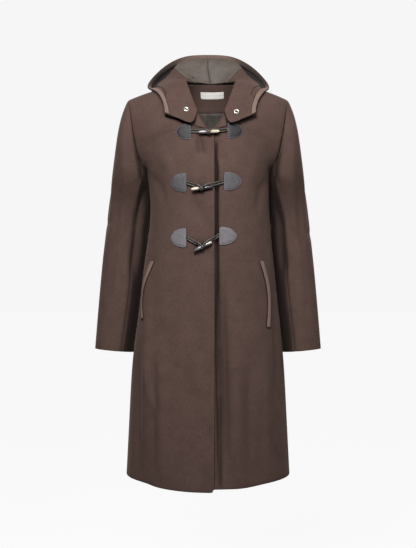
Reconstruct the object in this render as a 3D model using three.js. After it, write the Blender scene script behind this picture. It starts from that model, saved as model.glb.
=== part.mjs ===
// A woollen duffle coat as it is worn, hood down and three toggle rows done up.
// Millimetres, +Z up. The wearer faces -Y and the wearer's left hand is at +X.
// The origin is on the centre line where the shoulders hold the coat.
import * as THREE from 'three';
import { mergeVertices } from 'three/addons/utils/BufferGeometryUtils.js';

// Sides and faces of the coat, as signs along X and Y
const RIGHT = -1;
const LEFT = 1;
const FRONT = -1;
const BACK = 1;

// Cloth thicknesses and the gap left at every seam
const WOOL = 2.4;
const WELT_CLOTH = 2.2;
const FACING_CLOTH = 1.2;
const SATIN = 1;
const LEATHER = 1.8;
const SEAM_GAP = 0.3;
const SEAM_TRIM = SEAM_GAP / 2 + 0.01;
const LYING_GAP = 0.6;
const EDGE_SLACK = 1e-6;

// Body: heights, side seam and the roundness of a section
const UNDERARM_Z = -206;
const HEM = { side: -944, right: -22, left: -15, back: -12, power: 3 };
const SIDE_SEAM_Y = 5;
const SECTION_POWER = 0.87;
const SECTIONS = [
  { z: -964, right: 203, left: 203, front: 160, back: 152 },
  { z: -868, right: 198, left: 198, front: 155, back: 147 },
  { z: -766, right: 193, left: 193, front: 150, back: 141 },
  { z: -642, right: 186, left: 186, front: 144, back: 134 },
  { z: -560, right: 172, left: 177, front: 140, back: 128 },
  { z: -445, right: 161, left: 165, front: 136, back: 120 },
  { z: -365, right: 148, left: 157, front: 133, back: 111 },
  { z: -290, right: 139, left: 151, front: 131, back: 107 },
  { z: -206, right: 150, left: 152, front: 128, back: 109 },
];

// Centre lines above the underarm
const CHEST_LINE = [
  { z: -206, y: -128 },
  { z: -170, y: -125 },
  { z: -135, y: -116 },
  { z: -105, y: -104 },
];
const SPINE_LINE = [
  { z: -206, y: 109 },
  { z: -140, y: 112 },
  { z: -80, y: 103 },
  { z: -20, y: 84 },
  { z: 28, y: 62 },
];

// Front closing: the right front lies over the left one
const CLOSING_X = 7;
const OVERLAP_X = 15;
const UNDERLAP_X = -22;
const UNDERLAP_DEPTH = WOOL + 1.5;
const UNDERLAP_HOLD = 4;
const UNDERLAP_FADE = 34;
const LAP_CORNER_RISE = 7;

// Neckline, a V in front that runs round to the back neck
const NECK = { x: 7, half: 62, y: -8, front: 96, back: 70, vee: -105, side: 20, nape: 28, veePower: 1.6 };

// Shoulder and armhole
const SHOULDER_TIP = { x: 198, y: 5, z: -20 };
const SHOULDER_RISE = 3;
const ARMHOLE = { y: 5, half: 54 };
const ARMHOLE_X = [
  { z: -206, right: 150, left: 152 },
  { z: -180, right: 167, left: 168 },
  { z: -156, right: 176, left: 176 },
  { z: -128, right: 180, left: 180 },
  { z: -73, right: 188, left: 188 },
  { z: -20, right: 198, left: 198 },
];

// Sleeve sections below the armpit. Inner edges follow the body, seen from the front
const SLEEVES = [
  { z: -226, outer: 242, tuck: -5, y: 26, deep: 62 },
  { z: -268, outer: 249, tuck: 2.5, y: 49, deep: 58 },
  { z: -315, outer: 255, tuck: 4, y: 58, deep: 54 },
  { z: -365, outer: 261, tuck: 5, y: 61, deep: 51 },
  { z: -445, outer: 269, tuck: 4, y: 60, deep: 49 },
  { z: -538, outer: 277, tuck: 3, y: 57, deep: 47 },
  { z: -590, outer: 281, tuck: 1, y: 54, deep: 46 },
  { z: -643, outer: 285, tuck: 1, y: 52, deep: 45 },
];
const SLEEVE_TILT = 0.09;
const CAP_RINGS = 5;
const CAP_SIDE_TURN = 66;
const CAP_LEAN = { out: 0.35, topDown: 0.4, sideDown: 0.22 };
const CAP_BEND = { top: 0.26, side: 0.75 };
const CAP_GAP = SEAM_GAP + 0.05;
const ARMPIT_EASE = 1.6;
const ARMPIT_POWER = 6;
const SLEEVE_SEAMS = { front: 9, back: 17, turn: 112 };
const SEAM_SWING = { cap: 0.4, step: 0.3 };

// Rows and columns of the cloth grids
const LOWER_ROWS = 9;
const UPPER_ROWS = 12;
const EDGE_ROWS = 3;
const PANEL_COLUMNS = 10;
const NAPE_COLUMNS = 4;
const OVERLAP_COLUMNS = 2;
const UNDERLAP_COLUMNS = 2;
const PATCH_BLEND = { up: 1.8, across: 2.4 };

const FOLD_GROWTH = 0.45;
const FOLD_FADE = 0.55;
const SHORT_FOLD_FOOT = UNDERARM_Z - 50;

// Largest folds of the body: a ridge has a positive depth, a trough a negative one
const FOLDS = [
  { face: FRONT, topX: -140, footX: -112, top: -590, foot: -1000, half: 17, deep: 5 },
  { face: FRONT, topX: -166, footX: -148, top: -620, foot: -1000, half: 15, deep: -7 },
  { face: FRONT, topX: 30, footX: 34, top: -430, foot: -1000, half: 14, deep: -5 },
  { face: FRONT, topX: 66, footX: 76, top: -520, foot: -1000, half: 22, deep: 5 },
  { face: FRONT, topX: 142, footX: 132, top: -600, foot: -1000, half: 20, deep: -5 },
  { face: FRONT, topX: -8, footX: -24, top: -112, foot: -215, half: 18, deep: -5 },
  { face: BACK, topX: -84, footX: -112, top: -330, foot: -1000, half: 28, deep: -7 },
  { face: BACK, topX: -20, footX: -34, top: -420, foot: -1000, half: 26, deep: 6 },
  { face: BACK, topX: 50, footX: 40, top: -380, foot: -1000, half: 26, deep: -6 },
  { face: BACK, topX: 104, footX: 126, top: -460, foot: -1000, half: 24, deep: 5 },
];

// Hood, lying open behind the neck. Each ring goes from the throat to the middle of the back
const THROAT_TURN = 32;
const HOOD_COLUMNS = 15;
const HOOD_LIFT = WOOL + LYING_GAP;
const SHOULDER_LIFT = 4.4;
const SHOULDER_TURNS = { from: 36, to: 62 };
const SHIFT_END_TURN = 60;
const RIM_SHIFT = { x: 5.5, from: 72, to: 96 };
const SEAM_LEAN = 0.2;
const FACING_FREE_TURN = 64;
const HOOD_ROLL = [
  { turn: 32, x: 44, y: -112, z: -91 },
  { turn: 50, x: 66, y: -96, z: -50 },
  { turn: 70, x: 84, y: -52, z: 6 },
  { turn: 90, x: 102, y: 2, z: 27 },
  { turn: 115, x: 88, y: 38, z: 40 },
  { turn: 145, x: 60, y: 66, z: 58 },
  { turn: 180, x: 0, y: 76, z: 66 },
];
const HOOD_CREST = [
  { turn: 32, x: 78, y: -104, z: -79 },
  { turn: 50, x: 92, y: -86, z: -52 },
  { turn: 70, x: 108, y: -44, z: -8 },
  { turn: 90, x: 131, y: 12, z: 15 },
  { turn: 108, x: 117, y: 40, z: 33 },
  { turn: 124, x: 100, y: 60, z: 50 },
  { turn: 140, x: 84, y: 75, z: 73 },
  { turn: 158, x: 62, y: 87, z: 95 },
  { turn: 180, x: 0, y: 95, z: 101 },
];
const HOOD_BAG = [
  { turn: 32, x: 92, y: -100, z: -73 },
  { turn: 50, x: 99, y: -82, z: -54 },
  { turn: 70, x: 114, y: -44, z: -16 },
  { turn: 90, x: 141, y: 13, z: 5 },
  { turn: 112, x: 124, y: 78, z: -22 },
  { turn: 135, x: 96, y: 112, z: -96 },
  { turn: 158, x: 56, y: 134, z: -162 },
  { turn: 180, x: 0, y: 146, z: -188 },
];
const HOOD_RIM = [
  { turn: 32, x: 110, y: -96, z: -64 },
  { turn: 44, x: 110, y: -86, z: -56 },
  { turn: 55, x: 111, y: -72, z: -43 },
  { turn: 68, x: 119, y: -50, z: -25 },
  { turn: 80, x: 136, y: -20, z: -7 },
  { turn: 90, x: 154, y: 8, z: 2 },
  { turn: 97, x: 151, y: 26, z: 25 },
  { turn: 104, x: 137, y: 48, z: 45 },
  { turn: 115, x: 117, y: 78, z: 70 },
  { turn: 130, x: 95, y: 106, z: 91 },
  { turn: 145, x: 73, y: 127, z: 106 },
  { turn: 162, x: 45, y: 141, z: 116 },
  { turn: 180, x: 0, y: 149, z: 119 },
];
const BAG_TURNS = { from: 84, to: 130 };
const BAG_INSIDE = 0.42;
const BAG_OUTSIDE = 0.5;
const BAG_SWELL = 26;
const CREST_TOP = 7;
const RIM_BAND = 12;
const BAND_LIFT = 1;
const BAND_ROWS = 2;
const BAND_EASE = 4;
const HOOD_LINING_TURN = 146;

// Rows of a hood profile: seam to roll, crest, inside of the bag, bag, outside of the bag, rim
const HOOD_ROWS = [2, 3, 3, 2, 2, 3];

// Inside of the back neck
const NECK_GAP = 0.8;
const NECK_FACING_ROWS = 3;
const BACK_LINING_ROWS = 5;
const PLEAT_DEPTH = 4;
const LABEL = { x: 10.5, z: 0, wide: 59, high: 16, thick: 0.6, columns: 6 };

// Corner of the turned-out front facing at the foot of the V, measured from the closing line
const VEE_FACING = [
  { out: 12, z: -104 },
  { out: 38, z: -96 },
  { out: 37, z: -73 },
  { out: 33, z: -67 },
];

// Pocket welts: the angle round the body at each height
const WELT_WIDTH = 18;
const WELT_LIFT = 1.2;
const WELT_ROWS = 7;
const WELTS = {
  [RIGHT]: [
    { z: -560, angle: 60 },
    { z: -535, angle: 64.5 },
    { z: -506, angle: 67.5 },
    { z: -465, angle: 63.5 },
    { z: -420, angle: 55.5 },
  ],
  [LEFT]: [
    { z: -580, angle: 51.5 },
    { z: -545, angle: 55 },
    { z: -505, angle: 57.5 },
    { z: -465, angle: 55.5 },
    { z: -420, angle: 49.5 },
  ],
};

// Leather patches. x is the straight side
const PATCHES = [
  { row: 1, side: RIGHT, x: -42, z: -111, wide: 35, high: 39, cordRise: 2 },
  { row: 1, side: LEFT, x: 47, z: -108, wide: 37, high: 38, cordRise: 2 },
  { row: 2, side: RIGHT, x: -51, z: -233.5, wide: 37, high: 45, cordRise: -1 },
  { row: 2, side: LEFT, x: 38, z: -231, wide: 41, high: 44, cordRise: -1 },
  { row: 3, side: RIGHT, x: -51, z: -365.5, wide: 37, high: 46, cordRise: 0 },
  { row: 3, side: LEFT, x: 27, z: -361, wide: 41, high: 44, cordRise: 2 },
];
const PATCH_ROWS = 4;
const PATCH_COLUMNS = 5;
const PATCH_REACH = 0.985;
const PATCH_ROUND = 2.6;

// Toggles from tip to tip, and how far their middle stands off the cloth
const TOGGLES = [
  { row: 1, fromX: -23, fromZ: -113, toX: 27, toZ: -111, lift: 9 },
  { row: 2, fromX: -40, fromZ: -251, toX: 10.5, toZ: -245, lift: 9 },
  { row: 3, fromX: -34.5, fromZ: -397.5, toX: 8.5, toZ: -375.5, lift: 9 },
];
const TOGGLE_SIDES = 8;
const TOGGLE_PROFILE = [
  { radius: 0, along: -0.5 },
  { radius: 2.8, along: -0.5 },
  { radius: 3.9, along: -0.4 },
  { radius: 4.5, along: -0.22 },
  { radius: 3.4, along: -0.12 },
  { radius: 3.4, along: 0.12 },
  { radius: 4.5, along: 0.22 },
  { radius: 3.9, along: 0.4 },
  { radius: 2.8, along: 0.5 },
  { radius: 0, along: 0.5 },
];

// Toggle cords: a path from the patch to the waist, round it and back
const CORD = { radius: 1.6, sides: 6, steps: 26, start: 0.9, apart: 2.1 };
const CORD_PATH = [
  { along: 0, up: 2.6, lift: 2.6 },
  { along: 0.4, up: 3.4, lift: 7.5 },
  { along: 0.8, up: 5.2, lift: 13.5 },
  { along: 1, up: 1.5, lift: 15 },
  { along: 1, up: -4.6, lift: 13.4 },
  { along: 1, up: -6.4, lift: 9 },
  { along: 1, up: -4.3, lift: 4.4 },
  { along: 0.94, up: 0.5, lift: 3 },
  { along: 0.6, up: -1.6, lift: 3.2 },
  { along: 0, up: -2.6, lift: 2.6 },
];
const LOOP_FROM = 0.9;

// Press studs
const STUDS = [
  { side: RIGHT, x: -52, z: -56 },
  { side: LEFT, x: 68, z: -62 },
];
const STUD_SIDES = 12;
const STUD_PROFILE = [
  { radius: 0, high: 0 },
  { radius: 6, high: 0 },
  { radius: 6.5, high: 0.8 },
  { radius: 5.8, high: 1.8 },
  { radius: 3.6, high: 1.8 },
  { radius: 2.8, high: 0.9 },
  { radius: 0, high: 0.9 },
];

// Colours of the real materials, with how rough each one is
const FINISHES = {
  wool: { color: 0x5a4840, roughness: 0.95, metalness: 0 },
  band: { color: 0x7d6b64, roughness: 0.95, metalness: 0 },
  welt: { color: 0x75625b, roughness: 0.95, metalness: 0 },
  satin: { color: 0x6d655e, roughness: 0.45, metalness: 0 },
  lining: { color: 0x4c4841, roughness: 0.5, metalness: 0 },
  leather: { color: 0x5f5c5e, roughness: 0.5, metalness: 0 },
  cord: { color: 0x2b2a28, roughness: 0.6, metalness: 0 },
  horn: { color: 0x3a3836, roughness: 0.3, metalness: 0 },
  metal: { color: 0xf2efe8, roughness: 0.3, metalness: 0.8 },
  label: { color: 0xe6e5e1, roughness: 0.8, metalness: 0 },
};

const coat = new THREE.Group();

function vec(x, y, z) {
  return new THREE.Vector3(x, y, z);
}

function mix(from, to, share) {
  return from + (to - from) * share;
}

function radians(degrees) {
  return THREE.MathUtils.degToRad(degrees);
}

function smooth(value, from, to) {
  return THREE.MathUtils.smoothstep(value, from, to);
}

function signedPower(value, power) {
  return Math.sign(value) * Math.abs(value) ** power;
}

// Reads a column of a table at any height or turn, on a smooth curve through its rows
function reader(table, key) {
  const rows = [...table].sort((a, b) => a[key] - b[key]);
  const slope = (index, column) => {
    const before = rows[Math.max(index - 1, 0)];
    const after = rows[Math.min(index + 1, rows.length - 1)];
    return (after[column] - before[column]) / (after[key] - before[key]);
  };
  return (at, column) => {
    const place = THREE.MathUtils.clamp(at, rows[0][key], rows[rows.length - 1][key]);
    let index = 0;
    while (index < rows.length - 2 && place > rows[index + 1][key]) {
      index += 1;
    }
    const low = rows[index];
    const high = rows[index + 1];
    const span = high[key] - low[key];
    const t = (place - low[key]) / span;
    const bendLow = slope(index, column) * span;
    const bendHigh = slope(index + 1, column) * span;
    return low[column] * (1 + 2 * t) * (1 - t) ** 2 + bendLow * t * (1 - t) ** 2
      + high[column] * t * t * (3 - 2 * t) + bendHigh * t * t * (t - 1);
  };
}

const section = reader(SECTIONS, 'z');
const chestLine = reader(CHEST_LINE, 'z');
const spineLine = reader(SPINE_LINE, 'z');
const armholeX = reader(ARMHOLE_X, 'z');
const sleeveAt = reader(SLEEVES, 'z');

function sideName(side) {
  return side === RIGHT ? 'right' : 'left';
}

// How far the folds stand out of the cloth at a place on the front or back
function foldDepth(face, x, z) {
  let depth = 0;
  for (const fold of FOLDS) {
    if (fold.face !== face || z > fold.top) {
      continue;
    }
    const along = (z - fold.top) / (fold.foot - fold.top);
    const middle = mix(fold.topX, fold.footX, along);
    const spread = Math.exp(-(((x - middle) / fold.half) ** 2));
    const grown = smooth(along, 0, FOLD_GROWTH);
    const short = fold.foot > SHORT_FOLD_FOOT ? 1 - smooth(along, FOLD_FADE, 1) : 1;
    depth += fold.deep * spread * grown * short;
  }
  return depth;
}

// A point of the body below the underarm. The angle is 0 at the centre and 90 at the side seam
function bodyPoint(side, face, angle, z) {
  const half = section(z, sideName(side));
  const depth = section(z, face === FRONT ? 'front' : 'back') - face * SIDE_SEAM_Y;
  const across = signedPower(Math.sin(radians(angle)), SECTION_POWER);
  const along = signedPower(Math.cos(radians(angle)), SECTION_POWER);
  const x = side * half * across;
  const out = vec((side * across) / half, (face * along) / depth, 0).normalize();
  return vec(x, SIDE_SEAM_Y + face * depth * along, z).addScaledVector(out, foldDepth(face, x, z));
}

// The angle at which a section reaches a place across the body
function angleAt(side, x, z) {
  const share = (side * x) / section(z, sideName(side));
  return THREE.MathUtils.radToDeg(Math.asin(signedPower(share, 1 / SECTION_POWER)));
}

function neckPoint(side, turn) {
  const sine = Math.sin(radians(turn));
  const cosine = Math.cos(radians(turn));
  const x = NECK.x + side * NECK.half * sine;
  if (turn <= 90) {
    const z = mix(NECK.vee, NECK.side, sine ** NECK.veePower);
    return vec(x, NECK.y - NECK.front * cosine, z);
  }
  return vec(x, NECK.y - NECK.back * cosine, mix(NECK.side, NECK.nape, cosine * cosine));
}

// The armhole, with turn 0 at the shoulder tip, 90 in front or behind and 180 at the underarm
function armholePoint(side, face, turn) {
  const middle = (SHOULDER_TIP.z + UNDERARM_Z) / 2;
  const z = middle + (SHOULDER_TIP.z - middle) * Math.cos(radians(turn));
  const y = ARMHOLE.y + face * ARMHOLE.half * Math.sin(radians(turn));
  return vec(side * armholeX(z, sideName(side)), y, z);
}

function shoulderPoint(side, share) {
  const tip = vec(side * SHOULDER_TIP.x, SHOULDER_TIP.y, SHOULDER_TIP.z);
  const point = neckPoint(side, 90).lerp(tip, share);
  point.z += SHOULDER_RISE * Math.sin(Math.PI * share);
  return point;
}

// Fills a four-sided piece of cloth between its foot, top, inner and outer edges
function fillPatch(foot, top, inner, outer) {
  const lastRow = inner.length - 1;
  const lastColumn = foot.length - 1;
  return inner.map((innerPoint, row) => foot.map((footPoint, column) => {
    const up = (row / lastRow) ** PATCH_BLEND.up;
    const across = (column / lastColumn) ** PATCH_BLEND.across;
    const lengthwise = footPoint.clone().lerp(top[column], up);
    const crosswise = innerPoint.clone().lerp(outer[row], across);
    const footMid = foot[0].clone().lerp(foot[lastColumn], across);
    const topMid = top[0].clone().lerp(top[lastColumn], across);
    return lengthwise.add(crosswise).sub(footMid.lerp(topMid, up));
  }));
}

function steps(count) {
  return Array.from({ length: count + 1 }, (_, index) => index / count);
}

// Half of the front from the closing line to the side, from hem to shoulder
function frontRows(side) {
  const first = (z) => angleAt(side, CLOSING_X, z);
  const drop = HEM[sideName(side)];
  const lower = steps(LOWER_ROWS).map((up) => steps(PANEL_COLUMNS).map((share) => {
    const hem = HEM.side + drop * Math.cos(radians(90 * share)) ** HEM.power;
    const z = mix(hem, UNDERARM_Z, up);
    return bodyPoint(side, FRONT, mix(first(z), 90, share), z);
  }));
  const foot = lower.pop();
  const inner = steps(UPPER_ROWS).map((_, row) => {
    if (row <= EDGE_ROWS) {
      const z = mix(UNDERARM_Z, NECK.vee, row / EDGE_ROWS);
      return vec(CLOSING_X, row === 0 ? foot[0].y : chestLine(z, 'y'), z);
    }
    return neckPoint(side, (90 * (row - EDGE_ROWS)) / (UPPER_ROWS - EDGE_ROWS));
  });
  const outer = steps(UPPER_ROWS).map((up) => armholePoint(side, FRONT, 180 * (1 - up)));
  outer[0] = foot[PANEL_COLUMNS];
  const top = steps(PANEL_COLUMNS).map((share) => shoulderPoint(side, share));
  const upper = fillPatch(foot, top, inner, outer);
  for (const row of upper.slice(1)) {
    for (const point of row) {
      point.y -= foldDepth(FRONT, point.x, point.z);
    }
  }
  return [...lower, ...upper];
}

// Half of the back from the spine to the side, from hem to shoulder
function backRows(side) {
  const lower = steps(LOWER_ROWS).map((up) => steps(PANEL_COLUMNS).map((share) => {
    const hem = HEM.side + HEM.back * Math.cos(radians(90 * share)) ** HEM.power;
    return bodyPoint(side, BACK, 90 * share, mix(hem, UNDERARM_Z, up));
  }));
  const foot = lower.pop();
  const inner = steps(UPPER_ROWS).map((up) => {
    const z = mix(UNDERARM_Z, NECK.nape, up);
    return vec(NECK.x * up, spineLine(z, 'y'), z);
  });
  inner[0] = foot[0];
  const outer = steps(UPPER_ROWS).map((up) => armholePoint(side, BACK, 180 * (1 - up)));
  outer[0] = foot[PANEL_COLUMNS];
  const top = steps(PANEL_COLUMNS).map((_, column) => {
    if (column <= NAPE_COLUMNS) {
      return neckPoint(side, 180 - (90 * column) / NAPE_COLUMNS);
    }
    return shoulderPoint(side, (column - NAPE_COLUMNS) / (PANEL_COLUMNS - NAPE_COLUMNS));
  });
  return [...lower, ...fillPatch(foot, top, inner, outer)];
}

// The point of a row of cloth at a place across it
function alongRow(row, x) {
  let index = 0;
  while (index < row.length - 2 && Math.abs(row[index + 1].x - CLOSING_X) < Math.abs(x - CLOSING_X)) {
    index += 1;
  }
  const from = row[index];
  const to = row[index + 1];
  return from.clone().lerp(to, (x - from.x) / (to.x - from.x));
}

// Gives each point of a grid its outward direction. A missing point is null
function withNormals(rows, outward, closed = false) {
  return rows.map((row, i) => row.map((point, j) => {
    if (!point) {
      return null;
    }
    const pick = (a, b) => {
      const line = rows[a];
      if (!line) {
        return null;
      }
      return closed ? line[(b + line.length) % line.length] : line[b];
    };
    const left = pick(i, j - 1) ?? point;
    const right = pick(i, j + 1) ?? point;
    const below = pick(i - 1, j) ?? point;
    const above = pick(i + 1, j) ?? point;
    const across = vec(0, 0, 0).subVectors(right, left);
    const up = vec(0, 0, 0).subVectors(above, below);
    return { point, normal: across.cross(up).normalize().multiplyScalar(outward) };
  }));
}

// Moves the edges of a piece in by half a seam gap
function trimmed(rows, edges) {
  const out = rows.map((row) => row.map((spot) => spot && { point: spot.point.clone(), normal: spot.normal }));
  const pull = (spot, neighbour) => {
    if (spot && neighbour) {
      const way = neighbour.point.clone().sub(spot.point).normalize();
      spot.point.addScaledVector(way, SEAM_TRIM);
    }
  };
  const lastRow = out.length - 1;
  out.forEach((row, i) => {
    const last = row.length - 1;
    if (edges.includes('first')) {
      pull(row[0], rows[i][1]);
    }
    if (edges.includes('last')) {
      pull(row[last], rows[i][last - 1]);
    }
  });
  out[0].forEach((spot, j) => edges.includes('foot') && pull(spot, rows[1][j]));
  out[lastRow].forEach((spot, j) => edges.includes('top') && pull(spot, rows[lastRow - 1][j]));
  return out;
}

// Moves a piece of cloth along its outward direction
function moved(rows, distance) {
  return rows.map((row) => row.map((spot) => spot && {
    point: spot.point.clone().addScaledVector(spot.normal, distance),
    normal: spot.normal,
  }));
}

// Makes a closed wall of cloth below a grid of points
function wallGeometry(rows, thickness) {
  const places = [];
  const number = rows.map((row) => row.map((spot) => {
    if (!spot) {
      return -1;
    }
    places.push(spot);
    return places.length - 1;
  }));
  const faces = [];
  for (let i = 0; i < rows.length - 1; i += 1) {
    for (let j = 0; j < rows[i].length - 1; j += 1) {
      const corners = [number[i][j], number[i][j + 1], number[i + 1][j + 1], number[i + 1][j]];
      if (corners.every((corner) => corner >= 0)) {
        faces.push([corners[0], corners[1], corners[2]], [corners[0], corners[2], corners[3]]);
      }
    }
  }
  const count = places.length;
  const used = new Map();
  for (const face of faces) {
    face.forEach((from, k) => used.set(`${from}_${face[(k + 1) % 3]}`, [from, face[(k + 1) % 3]]));
  }
  const triangles = [...faces, ...faces.map(([a, b, c]) => [a + count, c + count, b + count])];
  for (const [from, to] of used.values()) {
    if (!used.has(`${to}_${from}`)) {
      triangles.push([from, from + count, to + count], [from, to + count, to]);
    }
  }
  const outer = places.flatMap((spot) => spot.point.toArray());
  const inner = places.flatMap((spot) => spot.point.clone().addScaledVector(spot.normal, -thickness).toArray());
  return closedGeometry([...outer, ...inner], triangles);
}

// Makes a geometry whose faces point out, whatever way the grid ran
function closedGeometry(positions, triangles) {
  const corner = (index) => vec(...positions.slice(index * 3, index * 3 + 3));
  let volume = 0;
  for (const [a, b, c] of triangles) {
    volume += corner(a).dot(corner(b).cross(corner(c)));
  }
  const order = volume > 0 ? triangles : triangles.map(([a, b, c]) => [a, c, b]);
  const geometry = new THREE.BufferGeometry();
  geometry.setAttribute('position', new THREE.Float32BufferAttribute(positions, 3));
  geometry.setIndex(order.flat());
  return geometry;
}

function addPiece(name, geometry, finish) {
  const mesh = new THREE.Mesh(geometry, new THREE.MeshStandardMaterial(FINISHES[finish]));
  mesh.name = name;
  coat.add(mesh);
  return mesh;
}

// Body panels
const frontBase = { [RIGHT]: frontRows(RIGHT), [LEFT]: frontRows(LEFT) };
const backBase = { [RIGHT]: backRows(RIGHT), [LEFT]: backRows(LEFT) };

// Adds the strip past the closing line, which stops at the foot of the V
function frontWithLap(side) {
  const edge = side === RIGHT ? OVERLAP_X : UNDERLAP_X;
  const columns = side === RIGHT ? OVERLAP_COLUMNS : UNDERLAP_COLUMNS;
  return frontBase[side].map((row, i) => {
    const strip = steps(columns).slice(1).reverse().map((share) => {
      if (i >= LOWER_ROWS + EDGE_ROWS + 1) {
        return null;
      }
      const point = alongRow(frontBase[-side][i], mix(CLOSING_X, edge, share));
      point.z += row[0].z - frontBase[-side][i][0].z;
      point.z += i === 0 ? LAP_CORNER_RISE * share ** 3 : 0;
      return point;
    });
    return [...strip, ...row];
  });
}

// The left front dips where it passes under the right one
function underlap(rows) {
  return rows.map((row) => row.map((point) => {
    if (!point) {
      return null;
    }
    const depth = UNDERLAP_DEPTH * (1 - smooth(point.x, OVERLAP_X + UNDERLAP_HOLD, OVERLAP_X + UNDERLAP_FADE));
    return point.clone().setY(point.y + depth);
  }));
}

const frontSpots = {
  [RIGHT]: withNormals(frontWithLap(RIGHT), -1),
  [LEFT]: withNormals(underlap(frontWithLap(LEFT)), 1),
};
const backGrid = backBase[RIGHT].map((row, i) => [...row.slice(1).reverse(), ...backBase[LEFT][i]]);
const backSpots = withNormals(backGrid, -1);

// Both panels of a seam are cut square to the same direction
function squareSeams(spots, side, columns) {
  const seam = shoulderPoint(side, 1).sub(shoulderPoint(side, 0)).normalize();
  const over = vec(0, 0, 1).addScaledVector(seam, -seam.z).normalize();
  const top = spots[spots.length - 1];
  columns.over.forEach((column) => top[column].normal.copy(over));
  spots.slice(0, LOWER_ROWS + 1).forEach((row) => row[columns.side].normal.setY(0).normalize());
}

const overFront = (strip) => ({
  over: steps(PANEL_COLUMNS).map((_, column) => column + strip),
  side: PANEL_COLUMNS + strip,
});
const overBack = (side) => ({
  over: steps(PANEL_COLUMNS).map((_, column) => PANEL_COLUMNS + side * column).slice(NAPE_COLUMNS),
  side: PANEL_COLUMNS + side * PANEL_COLUMNS,
});
squareSeams(frontSpots[RIGHT], RIGHT, overFront(OVERLAP_COLUMNS));
squareSeams(frontSpots[LEFT], LEFT, overFront(UNDERLAP_COLUMNS));
squareSeams(backSpots, RIGHT, overBack(RIGHT));
squareSeams(backSpots, LEFT, overBack(LEFT));

addPiece('front_right', wallGeometry(trimmed(frontSpots[RIGHT], ['last', 'top']), WOOL), 'wool');
addPiece('front_left', wallGeometry(trimmed(frontSpots[LEFT], ['last', 'top']), WOOL), 'wool');
addPiece('back', wallGeometry(trimmed(backSpots, ['first', 'last', 'top']), WOOL), 'wool');

// Sleeves
function sleeveRing(side, z) {
  const inner = section(z, sideName(side)) - sleeveAt(z, 'tuck');
  const outer = sleeveAt(z, 'outer');
  return { middle: (inner + outer) / 2, half: (outer - inner) / 2, y: sleeveAt(z, 'y'), deep: sleeveAt(z, 'deep') };
}

// Turn of a ring's point: the front seam swings forward below the armpit
function ringTurn(index, swing) {
  const whole = 2 * UPPER_ROWS;
  const even = (360 * index) / whole;
  const { front, turn } = SLEEVE_SEAMS;
  if (index > UPPER_ROWS) {
    return even;
  }
  const swung = index <= front
    ? (turn * index) / front
    : mix(turn, 180, (index - front) / (UPPER_ROWS - front));
  return mix(even, swung, swing);
}

function sleeveRows(side) {
  const around = Array.from({ length: 2 * UPPER_ROWS }, (_, index) => index);
  const ringPoint = (z, index, swing) => {
    const ring = sleeveRing(side, z);
    const turn = radians(ringTurn(index, swing));
    const out = ring.half * Math.cos(turn);
    return vec(side * (ring.middle + out), ring.y - ring.deep * Math.sin(turn), z + SLEEVE_TILT * out);
  };
  const top = SLEEVES[0].z;
  const cap = steps(CAP_RINGS).map((t) => around.map((index) => {
    const turn = (360 * index) / around.length;
    const face = turn <= 180 ? FRONT : BACK;
    const start = armholePoint(side, face, turn <= 180 ? turn : 360 - turn);
    if (index === UPPER_ROWS) {
      start.copy(frontBase[side][LOWER_ROWS][PANEL_COLUMNS]);
    }
    const low = (1 - Math.cos(radians(turn))) / 2;
    start.x += side * (CAP_GAP + ARMPIT_EASE * low ** ARMPIT_POWER);
    const end = ringPoint(top, index, SEAM_SWING.cap);
    const next = ringPoint(SLEEVES[1].z, index, SEAM_SWING.cap);
    const chord = end.distanceTo(start);
    const offTop = smooth(Math.min(turn, 360 - turn), 0, CAP_SIDE_TURN);
    const down = mix(CAP_LEAN.topDown, CAP_LEAN.sideDown, offTop);
    const leave = vec(side, -CAP_LEAN.out * Math.sin(radians(turn)), -down).normalize();
    const arrive = next.sub(end).normalize();
    const bend = chord * mix(CAP_BEND.top, CAP_BEND.side, offTop);
    return start.multiplyScalar((1 + 2 * t) * (1 - t) ** 2)
      .addScaledVector(leave, bend * t * (1 - t) ** 2)
      .addScaledVector(end, t * t * (3 - 2 * t))
      .addScaledVector(arrive, bend * t * t * (t - 1));
  }));
  const arm = SLEEVES.slice(1).map((row, index) => {
    const swing = Math.min(1, SEAM_SWING.cap + SEAM_SWING.step * (index + 1));
    return around.map((place) => ringPoint(row.z, place, swing));
  });
  return [...cap, ...arm];
}

function sleevePiece(spots, from, to) {
  const count = spots[0].length;
  const columns = Array.from({ length: to - from + 1 }, (_, index) => (from + index + count) % count);
  return trimmed(spots.map((row) => columns.map((column) => row[column])), ['first', 'last']);
}

for (const side of [RIGHT, LEFT]) {
  const spots = withNormals(sleeveRows(side), side, true);
  spots[0].forEach((spot, index) => {
    const turn = radians((360 * index) / spots[0].length);
    spot.normal = vec(0, -Math.sin(turn), Math.cos(turn));
  });
  const count = 2 * UPPER_ROWS;
  const { front, back } = SLEEVE_SEAMS;
  const upper = sleevePiece(spots, back - count, front);
  const under = sleevePiece(spots, front, back);
  addPiece(`sleeve_${sideName(side)}_upper`, wallGeometry(upper, WOOL), 'wool');
  addPiece(`sleeve_${sideName(side)}_under`, wallGeometry(under, WOOL), 'wool');
}

// Hood
const neckRing = Array.from({ length: HOOD_COLUMNS }, (_, index) => (
  mix(THROAT_TURN, 180, index / (HOOD_COLUMNS - 1))));

const hoodRings = {
  roll: reader(HOOD_ROLL, 'turn'),
  crest: reader(HOOD_CREST, 'turn'),
  bag: reader(HOOD_BAG, 'turn'),
  rim: reader(HOOD_RIM, 'turn'),
};

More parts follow.
